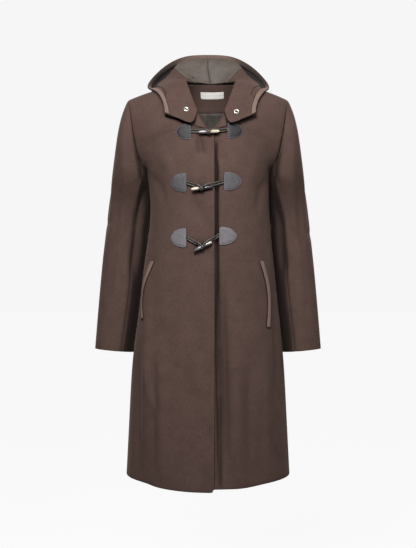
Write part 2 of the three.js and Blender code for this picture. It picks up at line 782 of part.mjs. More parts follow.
// The place on a grid of cloth behind a point of the front or back view, with its outward direction
function panelHit(rows, face, x, z) {
  let found = null;
  for (let i = 0; i < rows.length - 1; i += 1) {
    for (let j = 0; j < rows[i].length - 1; j += 1) {
      const corners = [rows[i][j], rows[i][j + 1], rows[i + 1][j + 1], rows[i + 1][j]];
      if (corners.some((corner) => !corner)) {
        continue;
      }
      for (const [a, b, c] of [[0, 1, 2], [0, 2, 3]].map((ids) => ids.map((id) => corners[id]))) {
        const area = (b.x - a.x) * (c.z - a.z) - (c.x - a.x) * (b.z - a.z);
        const u = ((x - a.x) * (c.z - a.z) - (c.x - a.x) * (z - a.z)) / area;
        const v = ((b.x - a.x) * (z - a.z) - (x - a.x) * (b.z - a.z)) / area;
        if (u < -EDGE_SLACK || v < -EDGE_SLACK || u + v > 1 + EDGE_SLACK) {
          continue;
        }
        const point = vec(x, a.y + u * (b.y - a.y) + v * (c.y - a.y), z);
        if (!found || face * point.y > face * found.point.y) {
          const normal = b.clone().sub(a).cross(c.clone().sub(a)).normalize();
          normal.multiplyScalar(Math.sign(normal.y) * face);
          found = { point, normal };
        }
      }
    }
  }
  return found;
}

const pointRows = (spots) => spots.map((row) => row.map((spot) => spot && spot.point));
const frontGrids = { [RIGHT]: pointRows(frontSpots[RIGHT]), [LEFT]: pointRows(frontSpots[LEFT]) };

// A point on the front, moved out along the cloth's own direction
function onFront(x, z, lift) {
  const side = x < OVERLAP_X ? RIGHT : LEFT;
  const hit = panelHit(frontGrids[side], FRONT, x, z);
  return hit.point.addScaledVector(hit.normal, lift);
}

// The facets of the body panels, with their outward directions
function panelFacets(spots) {
  const facets = [];
  for (let i = 0; i < spots.length - 1; i += 1) {
    for (let j = 0; j < spots[i].length - 1; j += 1) {
      const corners = [spots[i][j], spots[i][j + 1], spots[i + 1][j + 1], spots[i + 1][j]];
      if (corners.every((corner) => corner)) {
        const [a, b, c, d] = corners.map((corner) => corner.point);
        facets.push({ triangle: new THREE.Triangle(a, b, c), normal: corners[0].normal });
        facets.push({ triangle: new THREE.Triangle(a, c, d), normal: corners[0].normal });
      }
    }
  }
  for (const facet of facets) {
    const normal = facet.triangle.getNormal(vec(0, 0, 0));
    facet.normal = normal.multiplyScalar(Math.sign(normal.dot(facet.normal)));
  }
  return facets;
}

const shoulderRows = (spots) => spots.slice(LOWER_ROWS);
const facets = [frontSpots[RIGHT], frontSpots[LEFT], backSpots].flatMap((spots) => panelFacets(shoulderRows(spots)));

// Lifts a point of the hood off the nearest panel
function lifted(point, lift) {
  let nearest = null;
  const spot = vec(0, 0, 0);
  for (const facet of facets) {
    facet.triangle.closestPointToPoint(point, spot);
    const distance = spot.distanceTo(point);
    if (!nearest || distance < nearest.distance) {
      nearest = { distance, normal: facet.normal, off: point.clone().sub(spot).dot(facet.normal) };
    }
  }
  return point.addScaledVector(nearest.normal, Math.max(0, lift - nearest.off));
}

function hoodLift(turn) {
  return HOOD_LIFT + SHOULDER_LIFT * smooth(turn, SHOULDER_TURNS.from, SHOULDER_TURNS.to);
}

// The throat lies a little to the wearer's left
function hoodShift(ring, turn) {
  if (ring === 'rim') {
    return RIM_SHIFT.x * (1 - smooth(turn, RIM_SHIFT.from, RIM_SHIFT.to));
  }
  return NECK.x * (1 - smooth(turn, THROAT_TURN, SHIFT_END_TURN));
}

function ringPoint(ring, side, turn) {
  const read = hoodRings[ring];
  return vec(side * read(turn, 'x') + hoodShift(ring, turn), read(turn, 'y'), read(turn, 'z'));
}

// One profile of the hood from the neck seam over the crest and the bag to the rim
function hoodProfile(side, turn) {
  const seam = neckPoint(side, turn);
  const off = vec(0, -Math.cos(radians(turn)), Math.sin(radians(turn)) + SEAM_LEAN).normalize();
  seam.addScaledVector(off, hoodLift(turn));
  const roll = ringPoint('roll', side, turn);
  const crest = ringPoint('crest', side, turn);
  const bag = ringPoint('bag', side, turn);
  const rim = ringPoint('rim', side, turn);
  const grown = smooth(turn, BAG_TURNS.from, BAG_TURNS.to);
  const inside = crest.clone().lerp(bag, BAG_INSIDE);
  inside.y += CREST_TOP * grown;
  const outside = bag.clone().lerp(rim, BAG_OUTSIDE);
  outside.y += BAG_SWELL * grown;
  const lying = [roll, crest, inside, bag, outside, rim].map((point) => lifted(point, hoodLift(turn)));
  const curve = new THREE.CatmullRomCurve3([seam, ...lying]);
  const count = HOOD_ROWS.reduce((sum, rows) => sum + rows, 0);
  const points = steps(count).map((_, row) => {
    let segment = 0;
    let left = row;
    while (left > HOOD_ROWS[segment]) {
      left -= HOOD_ROWS[segment];
      segment += 1;
    }
    const t = (segment + left / HOOD_ROWS[segment]) / HOOD_ROWS.length;
    return curve.getPoint(t);
  });
  return withBand(points).map((point) => lifted(point, hoodLift(turn)));
}

// Respaces a profile so that its last rows bound the rim band
function withBand(points) {
  const lengths = [0];
  points.slice(1).forEach((point, i) => lengths.push(lengths[i] + point.distanceTo(points[i])));
  const whole = lengths[lengths.length - 1];
  const bandRow = points.length - 1 - BAND_ROWS;
  const shift = whole - RIM_BAND - lengths[bandRow];
  return points.map((_, row) => {
    const share = lengths[row] / lengths[bandRow];
    const wanted = row <= bandRow
      ? lengths[row] + shift * share ** BAND_EASE
      : whole - (RIM_BAND * (points.length - 1 - row)) / BAND_ROWS;
    let i = 0;
    while (i < points.length - 2 && lengths[i + 1] < wanted) {
      i += 1;
    }
    return points[i].clone().lerp(points[i + 1], (wanted - lengths[i]) / (lengths[i + 1] - lengths[i]));
  });
}

function turned(columns) {
  return columns[0].map((_, row) => columns.map((column) => column[row]));
}

const crestRow = HOOD_ROWS[0] + HOOD_ROWS[1];
const bandRow = HOOD_ROWS.reduce((sum, rows) => sum + rows, 0) - BAND_ROWS;
const liningFrom = Math.max(...neckRing.filter((turn) => turn <= HOOD_LINING_TURN));
const hoodSpots = {};
for (const side of [RIGHT, LEFT]) {
  const columns = neckRing.map((turn) => hoodProfile(side, turn));
  hoodSpots[side] = withNormals(turned(columns), -side);
  for (const row of hoodSpots[side]) {
    const middle = row[row.length - 1];
    middle.normal.setX(0).normalize();
  }
  addPiece(`hood_${sideName(side)}`, wallGeometry(trimmed(hoodSpots[side], ['last']), WOOL), 'wool');
}

// Cloth on the inside of the hood, on the hood's own rows from the neck seam to the row that each turn ends at
function hoodSkin(side, fromTurn, toTurn, lastRow, cloth) {
  const columns = neckRing.map((turn, index) => ({ turn, index }))
    .filter(({ turn }) => turn >= fromTurn && turn <= toTurn);
  const rows = hoodSpots[side].slice(0, bandRow + 1).map((row, rowIndex) => columns.map(({ turn, index }) => (
    rowIndex <= lastRow(turn) ? row[index] : null)));
  return moved(rows.filter((row) => row.some((spot) => spot)), SEAM_GAP + cloth);
}

const facingSkins = {};
for (const side of [RIGHT, LEFT]) {
  const facingEnd = (turn) => (turn <= FACING_FREE_TURN ? bandRow : crestRow);
  const facing = hoodSkin(side, 0, HOOD_LINING_TURN, facingEnd, FACING_CLOTH);
  facingSkins[side] = pointRows(facing);
  const facingWall = wallGeometry(trimmed(facing, ['last', 'top']), FACING_CLOTH);
  addPiece(`hood_facing_${sideName(side)}`, facingWall, 'wool');
  const band = moved(hoodSpots[side].slice(bandRow), BAND_LIFT + FACING_CLOTH);
  addPiece(`hood_rim_${sideName(side)}`, wallGeometry(trimmed(band, ['last', 'foot']), FACING_CLOTH), 'band');
  const lining = hoodSkin(side, liningFrom, 180, () => crestRow, SATIN);
  const liningWall = wallGeometry(trimmed(lining, ['first', 'last']), SATIN);
  addPiece(`hood_lining_${sideName(side)}`, liningWall, 'satin');
}

// Inside of the back neck
const topRow = LOWER_ROWS + UPPER_ROWS;
const napeFrom = PANEL_COLUMNS - NAPE_COLUMNS;
const napeTo = PANEL_COLUMNS + NAPE_COLUMNS;
const seamRow = topRow - NECK_FACING_ROWS - 1;
const facingSeam = backSpots[seamRow].map((spot, column) => {
  const above = backSpots[seamRow + 1][column];
  const normal = spot.normal.clone().add(above.normal).normalize();
  return { point: spot.point.clone().lerp(above.point, 0.5), normal };
});
function insideBack(rows) {
  return moved(rows.map((row) => row.slice(napeFrom, napeTo + 1)), -WOOL - NECK_GAP);
}
const neckFacing = trimmed(insideBack([facingSeam, ...backSpots.slice(seamRow + 1)]), ['top', 'foot']);
addPiece('neck_facing', wallGeometry(neckFacing, FACING_CLOTH), 'wool');

const liningRows = [...backSpots.slice(seamRow + 1 - BACK_LINING_ROWS, seamRow + 1), facingSeam];
const liningSheet = trimmed(insideBack(liningRows), ['top']);
for (const row of liningSheet) {
  const pleat = row[NAPE_COLUMNS];
  pleat.point.addScaledVector(pleat.normal, -PLEAT_DEPTH);
}
addPiece('back_lining', wallGeometry(liningSheet, SATIN), 'lining');

// A flat piece that lies on the front, from its outline in X and Z
function lyingRows(corners, rows, columns, lift) {
  const [a, b, c, d] = corners;
  return steps(rows).map((up) => steps(columns).map((across) => {
    const x = mix(mix(a.x, b.x, across), mix(d.x, c.x, across), up);
    const z = mix(mix(a.z, b.z, across), mix(d.z, c.z, across), up);
    return onFront(x, z, lift);
  }));
}

for (const side of [RIGHT, LEFT]) {
  const corners = VEE_FACING.map((corner) => ({ x: NECK.x + side * corner.out, z: corner.z }));
  const rows = lyingRows(corners, 3, 3, LYING_GAP + FACING_CLOTH);
  const spots = withNormals(rows, side);
  addPiece(`front_facing_${sideName(side)}`, wallGeometry(spots, FACING_CLOTH), 'wool');
}

// Pocket welts, curved and lying on the fronts
for (const side of [RIGHT, LEFT]) {
  const angle = reader(WELTS[side], 'z');
  const ends = WELTS[side].map((row) => row.z);
  const half = WELT_WIDTH / 2;
  const rows = steps(WELT_ROWS).map((share) => steps(2).map((across) => {
    const z = mix(Math.min(...ends), Math.max(...ends), share);
    const radius = section(z, sideName(side));
    const turn = angle(z, 'angle') + THREE.MathUtils.radToDeg(mix(-half, half, across) / radius);
    return bodyPoint(side, FRONT, turn, z);
  }));
  const spots = moved(withNormals(rows, side), WELT_LIFT + WELT_CLOTH);
  addPiece(`welt_${sideName(side)}`, wallGeometry(spots, WELT_CLOTH), 'welt');
}

// Leather patches, each a D with its straight side towards the toggle
function patchRows(side, patch) {
  return steps(PATCH_COLUMNS).map((share) => {
    const along = PATCH_REACH * share;
    const half = (patch.high / 2) * Math.sqrt(1 - along ** PATCH_ROUND);
    return steps(PATCH_ROWS).map((across) => {
      const x = patch.x + side * patch.wide * along;
      const z = patch.z + mix(-half, half, across);
      return onFront(x, z, LYING_GAP + LEATHER);
    });
  });
}

for (const patch of PATCHES) {
  const spots = withNormals(patchRows(patch.side, patch), -patch.side);
  addPiece(`patch_${patch.row}_${sideName(patch.side)}`, wallGeometry(spots, LEATHER), 'leather');
}

// Toggles, turned from horn, with a waist for the cords
function toggleGeometry(length) {
  const profile = TOGGLE_PROFILE.map((spot) => new THREE.Vector2(spot.radius, spot.along * length));
  const geometry = new THREE.LatheGeometry(profile, TOGGLE_SIDES);
  geometry.deleteAttribute('normal');
  geometry.deleteAttribute('uv');
  return mergeVertices(geometry, 1e-3);
}

for (const toggle of TOGGLES) {
  const from = vec(toggle.fromX, 0, toggle.fromZ);
  const to = vec(toggle.toX, 0, toggle.toZ);
  const middle = from.clone().lerp(to, 0.5);
  const mesh = addPiece(`toggle_${toggle.row}`, toggleGeometry(from.distanceTo(to)), 'horn');
  mesh.position.copy(bedPoint(middle.x, middle.z)).y -= toggle.lift;
  mesh.quaternion.setFromUnitVectors(vec(0, 1, 0), to.sub(from).normalize());
}

// The front under the cords, without the dip of the left front under the right one
function bedPoint(x, z) {
  return panelHit(frontBase[x < CLOSING_X ? RIGHT : LEFT], FRONT, x, z).point;
}

// A round strand along a path, closed at both ends
function strandGeometry(points) {
  const outline = new THREE.Shape(steps(CORD.sides).slice(0, -1).map((share) => new THREE.Vector2(
    CORD.radius * Math.cos(2 * Math.PI * share),
    CORD.radius * Math.sin(2 * Math.PI * share),
  )));
  const path = new THREE.CatmullRomCurve3(points);
  const geometry = new THREE.ExtrudeGeometry(outline, { extrudePath: path, steps: CORD.steps });
  geometry.deleteAttribute('normal');
  geometry.deleteAttribute('uv');
  return mergeVertices(geometry, 1e-3);
}

// Each cord runs from its patch, loops round the waist of the toggle and runs back
for (const patch of PATCHES) {
  const toggle = TOGGLES.find((each) => each.row === patch.row);
  const slope = (toggle.toZ - toggle.fromZ) / (toggle.toX - toggle.fromX);
  const middleX = (toggle.fromX + toggle.toX) / 2;
  const waistX = middleX + patch.side * CORD.apart;
  const waistZ = (toggle.fromZ + toggle.toZ) / 2 + slope * (waistX - middleX);
  const startX = patch.x - patch.side * CORD.start;
  const startZ = patch.z + patch.cordRise;
  const waist = bedPoint(middleX, (toggle.fromZ + toggle.toZ) / 2);
  const points = CORD_PATH.map((spot) => {
    const x = mix(startX, waistX, spot.along);
    const z = mix(startZ, waistZ, spot.along) + spot.up;
    const ground = spot.along > LOOP_FROM ? waist.y : bedPoint(x, z).y;
    return vec(x, ground - spot.lift, z);
  });
  addPiece(`cord_${patch.row}_${sideName(patch.side)}`, strandGeometry(points), 'cord');
}

// Press studs on the throat of the hood
for (const stud of STUDS) {
  const hit = panelHit(facingSkins[stud.side], FRONT, stud.x, stud.z);
  const profile = STUD_PROFILE.map((spot) => new THREE.Vector2(spot.radius, spot.high));
  const geometry = new THREE.LatheGeometry(profile, STUD_SIDES);
  geometry.deleteAttribute('normal');
  geometry.deleteAttribute('uv');
  const mesh = addPiece(`stud_${sideName(stud.side)}`, mergeVertices(geometry, 1e-3), 'metal');
  mesh.position.copy(hit.point).addScaledVector(hit.normal, LYING_GAP);
  mesh.quaternion.setFromUnitVectors(vec(0, 1, 0), hit.normal);
}

// Cloth label, sewn on the back neck facing
const facingInside = neckFacing.map((row) => row.map((spot) => (
  spot.point.clone().addScaledVector(spot.normal, -FACING_CLOTH))));
const labelRows = steps(1).map((up) => steps(LABEL.columns).map((across) => {
  const x = LABEL.x + LABEL.wide * (across - 0.5);
  const z = LABEL.z + LABEL.high * (up - 0.5);
  const inside = panelHit(facingInside, FRONT, x, z).point;
  return inside.setY(inside.y - LYING_GAP - LABEL.thick);
}));
addPiece('neck_label', wallGeometry(withNormals(labelRows, 1), LABEL.thick), 'label');

export default coat;
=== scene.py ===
"""Looks of a woollen duffle coat in its worn shape, hood down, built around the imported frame.

Metres, +Z up. The wearer faces -Y and the wearer's left hand is at +X.
"""
import logging
import math
from dataclasses import dataclass, field
from enum import Enum
from functools import partial

import bpy
import numpy as np
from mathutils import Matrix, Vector
from mathutils.bvhtree import BVHTree
from mathutils.kdtree import KDTree


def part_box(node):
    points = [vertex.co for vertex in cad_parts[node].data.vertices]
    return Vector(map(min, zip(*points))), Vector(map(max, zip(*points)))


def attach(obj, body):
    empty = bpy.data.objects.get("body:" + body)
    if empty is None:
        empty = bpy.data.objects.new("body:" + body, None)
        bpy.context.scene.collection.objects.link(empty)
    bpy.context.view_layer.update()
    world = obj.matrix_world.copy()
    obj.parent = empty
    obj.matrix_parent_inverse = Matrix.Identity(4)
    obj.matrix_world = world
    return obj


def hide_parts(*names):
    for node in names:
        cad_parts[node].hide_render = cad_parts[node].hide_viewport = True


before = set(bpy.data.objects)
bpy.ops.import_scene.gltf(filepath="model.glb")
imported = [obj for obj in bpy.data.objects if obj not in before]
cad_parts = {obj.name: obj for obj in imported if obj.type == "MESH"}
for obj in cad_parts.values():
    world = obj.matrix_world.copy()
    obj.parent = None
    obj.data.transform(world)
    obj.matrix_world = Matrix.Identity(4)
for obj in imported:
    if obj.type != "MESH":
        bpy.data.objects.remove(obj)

logging.basicConfig(level=logging.INFO, format="%(message)s")
LOG = logging.getLogger("duffle coat")

MM = 0.001
WOOL = 2.4 * MM
WELT_CLOTH = 2.2 * MM
FACING_CLOTH = 1.2 * MM
SATIN = 1.0 * MM
LEATHER = 1.8 * MM
TAPE = 0.6 * MM
LYING_GAP = 0.5 * MM
SAME_POINT = 0.01 * MM
RIM_MATCH = 0.004
FAR_FROM_EDGE = 60 * MM
CUT_ANGLE = 55
SMOOTH_ANGLE = 50
IN_FRONT = -0.4
SIDES = ("right", "left")
ROWS = (1, 2, 3)

# Sockets of the mix node for colours, which share their names with those for numbers.
MIX_ONE, MIX_OTHER, MIX_RESULT = 6, 7, 2
SMOOTH = {"interpolation_type": "SMOOTHSTEP"}

Tree = bpy.types.NodeTree
Stops = tuple[tuple[float, str], ...]

# A wave texture of scale 1 has its bands this far apart.
WAVES = 2 * math.pi / 20


class Direction(Enum):
    """The way that a view or a ray looks along."""

    FRONT = (0.0, -1.0, 0.0)
    BACK = (0.0, 1.0, 0.0)
    RIGHT = (-1.0, 0.0, 0.0)
    LEFT = (1.0, 0.0, 0.0)


def linear(code: str) -> tuple[float, float, float, float]:
    """Turn an sRGB hex colour into linear values.

    Args:
        code: six hex digits.

    Returns:
        Red, green, blue and alpha, linear.
    """
    channels = [int(code[i:i + 2], 16) / 255 for i in (0, 2, 4)]
    turned = [c / 12.92 if c <= 0.04045 else ((c + 0.055) / 1.055) ** 2.4 for c in channels]
    return (*turned, 1.0)


def wire(tree: Tree, node: bpy.types.Node, inputs: dict) -> None:
    """Give a node's inputs their values or links.

    Args:
        tree: the node tree.
        node: the node.
        inputs: values or output sockets by input name or number.
    """
    for key, value in inputs.items():
        if isinstance(value, bpy.types.NodeSocket):
            tree.links.new(value, node.inputs[key])
        else:
            node.inputs[key].default_value = value


def add_node(tree: Tree, kind: str, inputs: dict, stops: Stops = (), **settings: object) -> bpy.types.Node:
    """Add a shader node with its settings and its links.

    Args:
        tree: the node tree.
        kind: the node's type, without the words that all shader nodes share.
        inputs: values or output sockets by input name or number.
        stops: for a colour ramp, places from 0 to 1 with their sRGB hex colours.
        settings: the node's own settings by name.

    Returns:
        The new node.
    """
    node = tree.nodes.new("ShaderNode" + kind)
    for key, value in settings.items():
        setattr(node, key, value)
    wire(tree, node, inputs)
    for _ in stops[2:]:
        node.color_ramp.elements.new(0.5)
    for number, (place, code) in enumerate(stops):
        element = node.color_ramp.elements[number]
        element.position = place
        element.color = linear(code)
    return node


def new_material(name: str, shader: dict) -> tuple[bpy.types.Material, Tree, bpy.types.Node]:
    """Start a material with one principled shader.

    Args:
        name: the material's name.
        shader: values for the shader's own sockets.

    Returns:
        The material, its node tree and its shader node.
    """
    material = bpy.data.materials.new(name)
    material.use_nodes = True
    tree = material.node_tree
    tree.nodes.clear()
    principled = add_node(tree, "BsdfPrincipled", shader)
    add_node(tree, "OutputMaterial", {"Surface": principled.outputs["BSDF"]})
    return material, tree, principled


def span(low: float, high: float, first: float = 0, last: float = 1) -> dict:
    """The range that a map node reads and what it gives for its two ends."""
    return {1: low, 2: high, 3: first, 4: last}


def grains(place: bpy.types.NodeSocket, spacing: float, detail: float) -> dict:
    """The inputs of a noise whose grains are a real distance apart.

    Args:
        place: the coordinates that it reads.
        spacing: distance between grains in metres.
        detail: the noise's detail.

    Returns:
        Values by input name.
    """
    return {"Vector": place, "Scale": 1 / spacing, "Detail": detail, "Roughness": 0.6}


@dataclass(frozen=True)
class WoolMelton:
    """Milled wool coating: the weave is felted over, so the eye sees a soft, matt nap with faint mottling.

    Beside seams it is darker, as painted shade in the seams' grooves, and at cut edges, as painted shade of
    the turned edge with some wear. An ambient occlusion node darkens its colour in deep creases, down to
    crease_tone, as painted shade, because the photo's creases are much darker than the lamps alone make them.
    """

    name: str = "wool_melton"
    face: str = "57443f"
    shade: str = "463630"
    sheen: str = "b89d90"
    fibre_mm: float = 0.9
    clump_mm: float = 2.6
    mottle_mm: float = 34.0
    seam_mm: float = 2.2
    edge_mm: float = 1.8
    crease_mm: float = 60.0
    seam_tone: float = 0.66
    edge_tone: float = 0.6
    crease_tone: float = 0.13

    def build(self) -> bpy.types.Material:
        """Make the material."""
        shader = {"Roughness": 0.93, "Specular IOR Level": 0.15, "Sheen Weight": 0.16, "Sheen Roughness": 0.5}
        shader["Sheen Tint"] = linear(self.sheen)
        material, tree, principled = new_material(self.name, shader)
        add = partial(add_node, tree)
        place = add("TexCoord", {}).outputs["Object"]
        fibre = add("TexNoise", grains(place, self.fibre_mm * MM, 4)).outputs["Fac"]
        clump = add("TexNoise", grains(place, self.clump_mm * MM, 3)).outputs["Fac"]
        mottle = add("TexNoise", grains(place, self.mottle_mm * MM, 2)).outputs["Fac"]
        nap = add("Math", {0: clump, 1: 1.4, 2: fibre}, operation="MULTIPLY_ADD").outputs[0]
        mixed = add("Math", {0: mottle, 1: 0.7, 2: nap}, operation="MULTIPLY_ADD").outputs[0]
        shifted = add("MapRange", {"Value": mixed, **span(1.1, 2.0)}, **SMOOTH).outputs[0]
        stops = ((0.0, self.shade), (1.0, self.face))
        colour = add("ValToRGB", {"Fac": shifted}, stops).outputs["Color"]
        seam = add("Attribute", {}, attribute_name="seam_mm").outputs["Fac"]
        edge = add("Attribute", {}, attribute_name="edge_mm").outputs["Fac"]
        air = add("AmbientOcclusion", {"Distance": self.crease_mm * MM}, samples=8).outputs["AO"]
        # Painted shade: darker beside seams, at cut edges (with some wear there) and, through ambient
        # occlusion, in deep creases.
        darkenings = (
            (seam, span(0.0, self.seam_mm, self.seam_tone, 1.0)),
            (edge, span(0.0, self.edge_mm, self.edge_tone, 1.0)),
            (air, span(0.35, 0.9, self.crease_tone, 1.0)),
        )
        for value, reach in darkenings:
            share = add("MapRange", {"Value": value, **reach}, **SMOOTH).outputs[0]
            colour = add("VectorMath", {0: colour, "Scale": share}, operation="SCALE").outputs["Vector"]
        clumps = {"Height": clump, "Strength": 0.5, "Distance": 0.5 * MM}
        fibres = {"Height": fibre, "Strength": 0.6, "Distance": 0.3 * MM}
        fibres["Normal"] = add("Bump", clumps).outputs["Normal"]
        wire(tree, principled, {"Base Color": colour, "Normal": add("Bump", fibres).outputs["Normal"]})
        return material


@dataclass(frozen=True)
class Satin:
    """Woven satin lining: long floats give a soft gloss along folds, with a faint twill.

    The twill is drawn coarser than the real millimetre, so that it shows.
    """

    name: str = "satin_lining"
    face: str = "574e47"
    shade: str = "4c443e"
    rough: float = 0.6
    twill_mm: float = 8.8
    cloud_mm: float = 18.0
    seam_tone: float = 0.5

    def build(self) -> bpy.types.Material:
        """Make the material."""
        shader = {"Roughness": self.rough, "Specular IOR Level": 0.28}
        shader.update({"Sheen Weight": 0.15, "Anisotropic": 0.3})
        material, tree, principled = new_material(self.name, shader)
        add = partial(add_node, tree)
        place = add("TexCoord", {}).outputs["Object"]
        waves = {"Vector": place, "Scale": WAVES / (self.twill_mm * MM), "Distortion": 0.4, "Detail": 1.0}
        twill = add("TexWave", waves, wave_type="BANDS", bands_direction="DIAGONAL").outputs["Fac"]
        cloud = add("TexNoise", grains(place, self.cloud_mm * MM, 2)).outputs["Fac"]
        shifted = add("MapRange", {"Value": cloud, **span(0.3, 0.7)}, **SMOOTH).outputs[0]
        stops = ((0.0, self.shade), (1.0, self.face))
        colour = add("ValToRGB", {"Fac": shifted}, stops).outputs["Color"]
        # Painted shade: the satin is darker beside its seams, where the seams' grooves are.
        seam = add("Attribute", {}, attribute_name="seam_mm").outputs["Fac"]
        share = add("MapRange", {"Value": seam, **span(0.0, 2.0, self.seam_tone, 1.0)}, **SMOOTH).outputs[0]
        shaded = add("VectorMath", {0: colour, "Scale": share}, operation="SCALE").outputs["Vector"]
        normal = add("Bump", {"Height": twill, "Strength": 0.25, "Distance": 0.12 * MM}).outputs["Normal"]
        wire(tree, principled, {"Base Color": shaded, "Normal": normal})
        return material


@dataclass(frozen=True)
class GrainedLeather:
    """Grained cowhide, corrected and embossed: small pebbles with a waxy gloss, lighter near its edges."""

    name: str = "grained_leather"
    face: str = "524f52"
    shade: str = "474447"
    edge: str = "6b676b"
    pebble_mm: float = 1.3
    cloud_mm: float = 9.0
    pore_mm: float = 0.5
    pale_edge_mm: float = 1.4

    def build(self) -> bpy.types.Material:
        """Make the material."""
        shader = {"Roughness": 0.56, "Specular IOR Level": 0.32, "Coat Weight": 0.04, "Coat Roughness": 0.35}
        material, tree, principled = new_material(self.name, shader)
        add = partial(add_node, tree)
        place = add("TexCoord", {}).outputs["Object"]
        cells = {"Vector": place, "Scale": 1 / (self.pebble_mm * MM)}
        pebble = add("TexVoronoi", cells, feature="DISTANCE_TO_EDGE").outputs["Distance"]
        dome = add("MapRange", {"Value": pebble, **span(0.0, 0.25)}, **SMOOTH).outputs[0]
        cloud = add("TexNoise", grains(place, self.cloud_mm * MM, 3)).outputs["Fac"]
        shifted = add("MapRange", {"Value": cloud, **span(0.3, 0.7)}, **SMOOTH).outputs[0]
        stops = ((0.0, self.shade), (1.0, self.face))
        colour = add("ValToRGB", {"Fac": shifted}, stops).outputs["Color"]
        edge = add("Attribute", {}, attribute_name="edge_mm").outputs["Fac"]
        paler_edge = add("MapRange", {"Value": edge, **span(0.0, self.pale_edge_mm, 1.0, 0.0)}, **SMOOTH).outputs[0]
        blend = {"Factor": paler_edge, MIX_ONE: colour, MIX_OTHER: linear(self.edge)}
        worn = add("Mix", blend, data_type="RGBA").outputs[MIX_RESULT]
        pores = add("MapRange", {"Value": pebble, **span(0.0, 0.12, 0.86, 1.0)}, **SMOOTH).outputs[0]
        shaded = add("VectorMath", {0: worn, "Scale": pores}, operation="SCALE").outputs["Vector"]
        fine = add("TexNoise", grains(place, self.pore_mm * MM, 2)).outputs["Fac"]
        domes = {"Height": dome, "Strength": 0.35, "Distance": 0.1 * MM}
        points = {"Height": fine, "Strength": 0.2, "Distance": 0.1 * MM}
        points["Normal"] = add("Bump", domes).outputs["Normal"]
        wire(tree, principled, {"Base Color": shaded, "Normal": add("Bump", points).outputs["Normal"]})
        return material


@dataclass(frozen=True)
class WaxedCord:
    """Braided cotton cord with wax: dark, with a dull gloss on the crowns of the braid, drawn as a painted
    highlight on the crowns and painted shade in the braid's hollows.
    """

    name: str = "waxed_cord"
    face: str = "5c5952"
    shade: str = "1d1b19"
    fuzz_mm: float = 0.4

    def build(self) -> bpy.types.Material:
        """Make the material."""
        material, tree, principled = new_material(self.name, {"Roughness": 0.38, "Specular IOR Level": 0.6})
        add = partial(add_node, tree)
        place = add("TexCoord", {}).outputs["Object"]
        # Painted highlight on the braid's crowns and painted shade in its hollows.
        crown_painted_light = add("Attribute", {}, attribute_name="crown_painted_light").outputs["Fac"]
        shifted = add("MapRange", {"Value": crown_painted_light, **span(0.35, 1.0)}, **SMOOTH).outputs[0]
        stops = ((0.0, self.shade), (1.0, self.face))
        colour = add("ValToRGB", {"Fac": shifted}, stops).outputs["Color"]
        fuzz = add("TexNoise", grains(place, self.fuzz_mm * MM, 2)).outputs["Fac"]
        normal = add("Bump", {"Height": fuzz, "Strength": 0.3, "Distance": 0.1 * MM}).outputs["Normal"]
        wire(tree, principled, {"Base Color": colour, "Normal": normal})
        return material


@dataclass(frozen=True)
class Horn:
    """Turned and polished horn: dark, streaked along its length, paling to a creamy tip, which is partly the
    horn's own pale tip and partly a painted highlight.
    """

    name: str
    stops: Stops
    streak_mm: float = 2.6
    fleck_mm: float = 0.9

    def build(self) -> bpy.types.Material:
        """Make the material."""
        shader = {"Roughness": 0.24, "Specular IOR Level": 0.55, "Coat Weight": 0.4, "Coat Roughness": 0.12}
        material, tree, principled = new_material(self.name, shader)
        add = partial(add_node, tree)
        place = add("TexCoord", {}).outputs["Object"]
        streak = add("TexNoise", grains(place, self.streak_mm * MM, 4)).outputs["Fac"]
        length = add("Attribute", {}, attribute_name="along").outputs["Fac"]
        along = add("Math", {0: streak, 1: 0.3, 2: length}, operation="MULTIPLY_ADD").outputs[0]
        shifted = add("MapRange", {"Value": along, **span(0.15, 1.15)}, **SMOOTH).outputs[0]
        colour = add("ValToRGB", {"Fac": shifted}, self.stops).outputs["Color"]
        fleck = add("TexNoise", grains(place, self.fleck_mm * MM, 3)).outputs["Fac"]
        share = add("MapRange", {"Value": fleck, **span(0.35, 0.6, 0.7, 1.0)}, **SMOOTH).outputs[0]
        shaded = add("VectorMath", {0: colour, "Scale": share}, operation="SCALE").outputs["Vector"]
        normal = add("Bump", {"Height": streak, "Strength": 0.15, "Distance": 0.15 * MM}).outputs["Normal"]
        wire(tree, principled, {"Base Color": shaded, "Normal": normal})
        return material


@dataclass(frozen=True)
class StudMetal:
    """Pressed brass with a nickel plate: bright, with fine polishing marks."""

    name: str = "nickel_plate"
    face: str = "f1ece2"
    mark_mm: float = 1.2

    def build(self) -> bpy.types.Material:
        """Make the material."""
        shader = {"Metallic": 0.85, "Base Color": linear(self.face)}
        material, tree, principled = new_material(self.name, shader)
        add = partial(add_node, tree)
        place = add("TexCoord", {}).outputs["Object"]
        marks = add("TexNoise", grains(place, self.mark_mm * MM, 4)).outputs["Fac"]
        rough = add("MapRange", {"Value": marks, **span(0.3, 0.7, 0.22, 0.36)}, **SMOOTH).outputs[0]
        wire(tree, principled, {"Roughness": rough})
        return material


@dataclass(frozen=True)
class WovenTape:
    """Woven polyester tape: off-white, with ribs across it, drawn coarser than real so that they show."""

    name: str = "woven_tape"
    face: str = "e8e7e3"
    shade: str = "d3d1cb"
    rib_mm: float = 5.65

    def build(self) -> bpy.types.Material:
        """Make the material."""
        material, tree, principled = new_material(self.name, {"Roughness": 0.7, "Sheen Weight": 0.1})
        add = partial(add_node, tree)
        place = add("TexCoord", {}).outputs["Object"]
        waves = {"Vector": place, "Scale": WAVES / (self.rib_mm * MM), "Distortion": 0.2}
        rib = add("TexWave", waves, wave_type="BANDS", bands_direction="Z").outputs["Fac"]
        colour = add("ValToRGB", {"Fac": rib}, ((0.0, self.shade), (1.0, self.face))).outputs["Color"]
        normal = add("Bump", {"Height": rib, "Strength": 0.3, "Distance": 0.1 * MM}).outputs["Normal"]
        wire(tree, principled, {"Base Color": colour, "Normal": normal})
        return material


